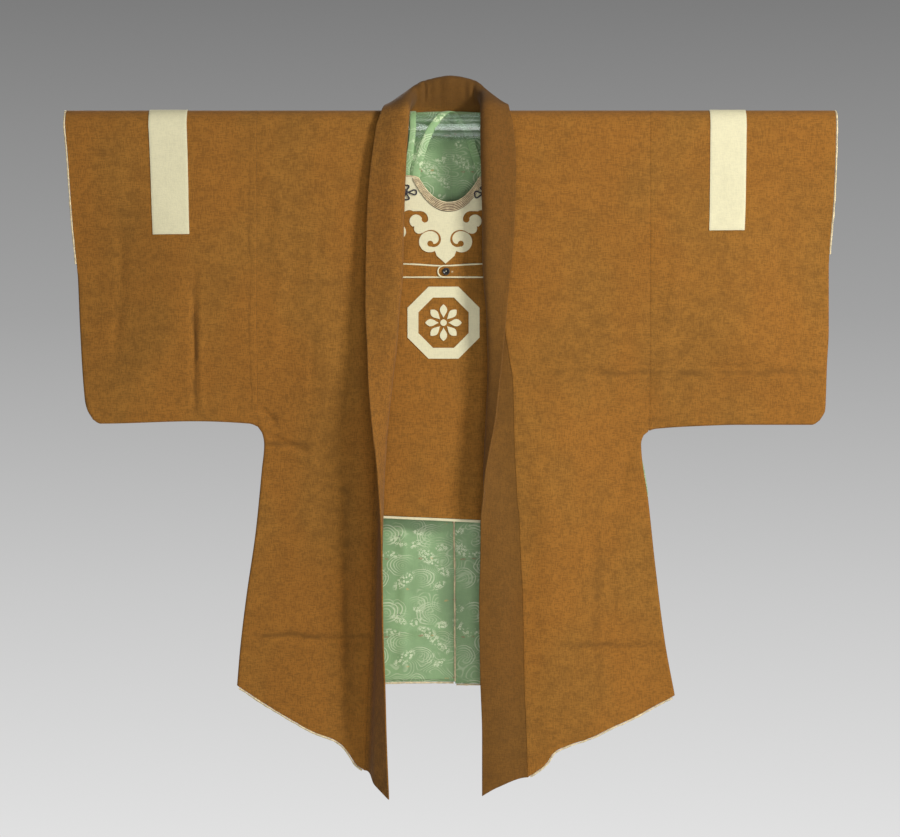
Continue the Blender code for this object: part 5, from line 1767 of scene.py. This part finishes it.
class FireJacketSizes(bpy.types.PropertyGroup):
    """Sizes and colours that a user would change."""

    wool_thickness: FloatProperty(
        name="Wool thickness", description="Thickness of the wool cloth, in millimetres",
        default=1.8, min=1.0, max=2.5)
    collar_thickness: FloatProperty(
        name="Collar thickness", description="Thickness of the doubled collar band, in millimetres",
        default=2.6, min=1.5, max=3.5)
    crease_depth: FloatProperty(
        name="Crease depth", description="How strongly the cloth is creased", default=1.0, min=0.0, max=2.0,
        subtype="FACTOR")
    wool_colour: FloatVectorProperty(
        name="Wool", description="Colour of the brown wool", default=(0.290, 0.127, 0.0185), size=3,
        min=0.0, max=1.0, subtype="COLOR")
    warm_colour: FloatVectorProperty(
        name="Rubbed wool", description="Colour of the brown wool where it is rubbed",
        default=(0.340, 0.128, 0.0150), size=3, min=0.0, max=1.0, subtype="COLOR")
    cream_colour: FloatVectorProperty(
        name="Cream", description="Colour of the cream wool", default=(0.76, 0.71, 0.47), size=3,
        min=0.0, max=1.0, subtype="COLOR")
    silk_colour: FloatVectorProperty(
        name="Silk", description="Ground colour of the silk", default=(0.240, 0.390, 0.180), size=3,
        min=0.0, max=1.0, subtype="COLOR")
    figure_colour: FloatVectorProperty(
        name="Figure", description="Colour of the figures woven in the silk",
        default=(0.62, 0.70, 0.46), size=3, min=0.0, max=1.0, subtype="COLOR")
    piping_colour: FloatVectorProperty(
        name="Piping", description="Colour of the piping", default=(0.80, 0.66, 0.40), size=3,
        min=0.0, max=1.0, subtype="COLOR")


class JACKET_OT_rod(bpy.types.Operator):
    """Makes the clear tube"""

    bl_idname = "fire_jacket.rod"
    bl_label = "Clear tube"

    def execute(self, context):
        build_rod()
        return {"FINISHED"}


class JACKET_OT_body(bpy.types.Operator):
    """Makes the two body halves"""

    bl_idname = "fire_jacket.body"
    bl_label = "Body"

    def execute(self, context):
        build_body()
        return {"FINISHED"}


class JACKET_OT_sleeves(bpy.types.Operator):
    """Makes the sleeves and their cream stripes"""

    bl_idname = "fire_jacket.sleeves"
    bl_label = "Sleeves"

    def execute(self, context):
        build_sleeves()
        build_stripes()
        return {"FINISHED"}


class JACKET_OT_collar(bpy.types.Operator):
    """Makes the collar band"""

    bl_idname = "fire_jacket.collar"
    bl_label = "Collar"

    def execute(self, context):
        build_collar()
        return {"FINISHED"}


class JACKET_OT_lining(bpy.types.Operator):
    """Makes the silk lining of the back and its vent piping"""

    bl_idname = "fire_jacket.lining"
    bl_label = "Lining"

    def execute(self, context):
        build_lining()
        return {"FINISHED"}


class JACKET_OT_pipings(bpy.types.Operator):
    """Makes the pipings of the cuffs and hems"""

    bl_idname = "fire_jacket.pipings"
    bl_label = "Pipings"

    def execute(self, context):
        build_pipings()
        return {"FINISHED"}


class JACKET_OT_chest_cloth(bpy.types.Operator):
    """Makes the chest cloth with its yoke, neck band and medallion"""

    bl_idname = "fire_jacket.chest_cloth"
    bl_label = "Chest cloth"

    def execute(self, context):
        build_bib()
        build_yoke()
        build_neck_band()
        build_medallion()
        return {"FINISHED"}


class JACKET_OT_belt(bpy.types.Operator):
    """Makes the belt of the chest cloth and its button"""

    bl_idname = "fire_jacket.belt"
    bl_label = "Belt"

    def execute(self, context):
        build_belt()
        build_button()
        return {"FINISHED"}


class JACKET_OT_cords(bpy.types.Operator):
    """Makes the cord knots and the silk straps"""

    bl_idname = "fire_jacket.cords"
    bl_label = "Knots and straps"

    def execute(self, context):
        build_knots()
        build_straps()
        return {"FINISHED"}


class JACKET_OT_stage(bpy.types.Operator):
    """Makes the floor, the backdrop, the lamps and the camera"""

    bl_idname = "fire_jacket.stage"
    bl_label = "Stage"

    def execute(self, context):
        build_stage()
        return {"FINISHED"}


class JACKET_PT_panel(bpy.types.Panel):
    """Lists the sizes, the colours and the pieces"""

    bl_idname = "JACKET_PT_panel"
    bl_label = "Fire Jacket"
    bl_space_type = "VIEW_3D"
    bl_region_type = "UI"
    bl_category = "Jacket"

    def draw(self, context):
        for name in FireJacketSizes.__annotations__:
            self.layout.prop(context.scene.fire_jacket, name)
        for operator in OPERATORS:
            self.layout.operator(operator.bl_idname)


OPERATORS = (JACKET_OT_rod, JACKET_OT_body, JACKET_OT_sleeves, JACKET_OT_collar, JACKET_OT_lining,
             JACKET_OT_pipings, JACKET_OT_chest_cloth, JACKET_OT_belt, JACKET_OT_cords, JACKET_OT_stage)
CLASSES = (FireJacketSizes, *OPERATORS, JACKET_PT_panel)


def register():
    for item in CLASSES:
        bpy.utils.register_class(item)
    bpy.types.Scene.fire_jacket = PointerProperty(type=FireJacketSizes)


def unregister():
    del bpy.types.Scene.fire_jacket
    for item in reversed(CLASSES):
        bpy.utils.unregister_class(item)


def main():
    register()
    for operator in OPERATORS:
        group, name = operator.bl_idname.split(".")
        getattr(getattr(bpy.ops, group), name)()


if __name__ == "__main__":
    main()
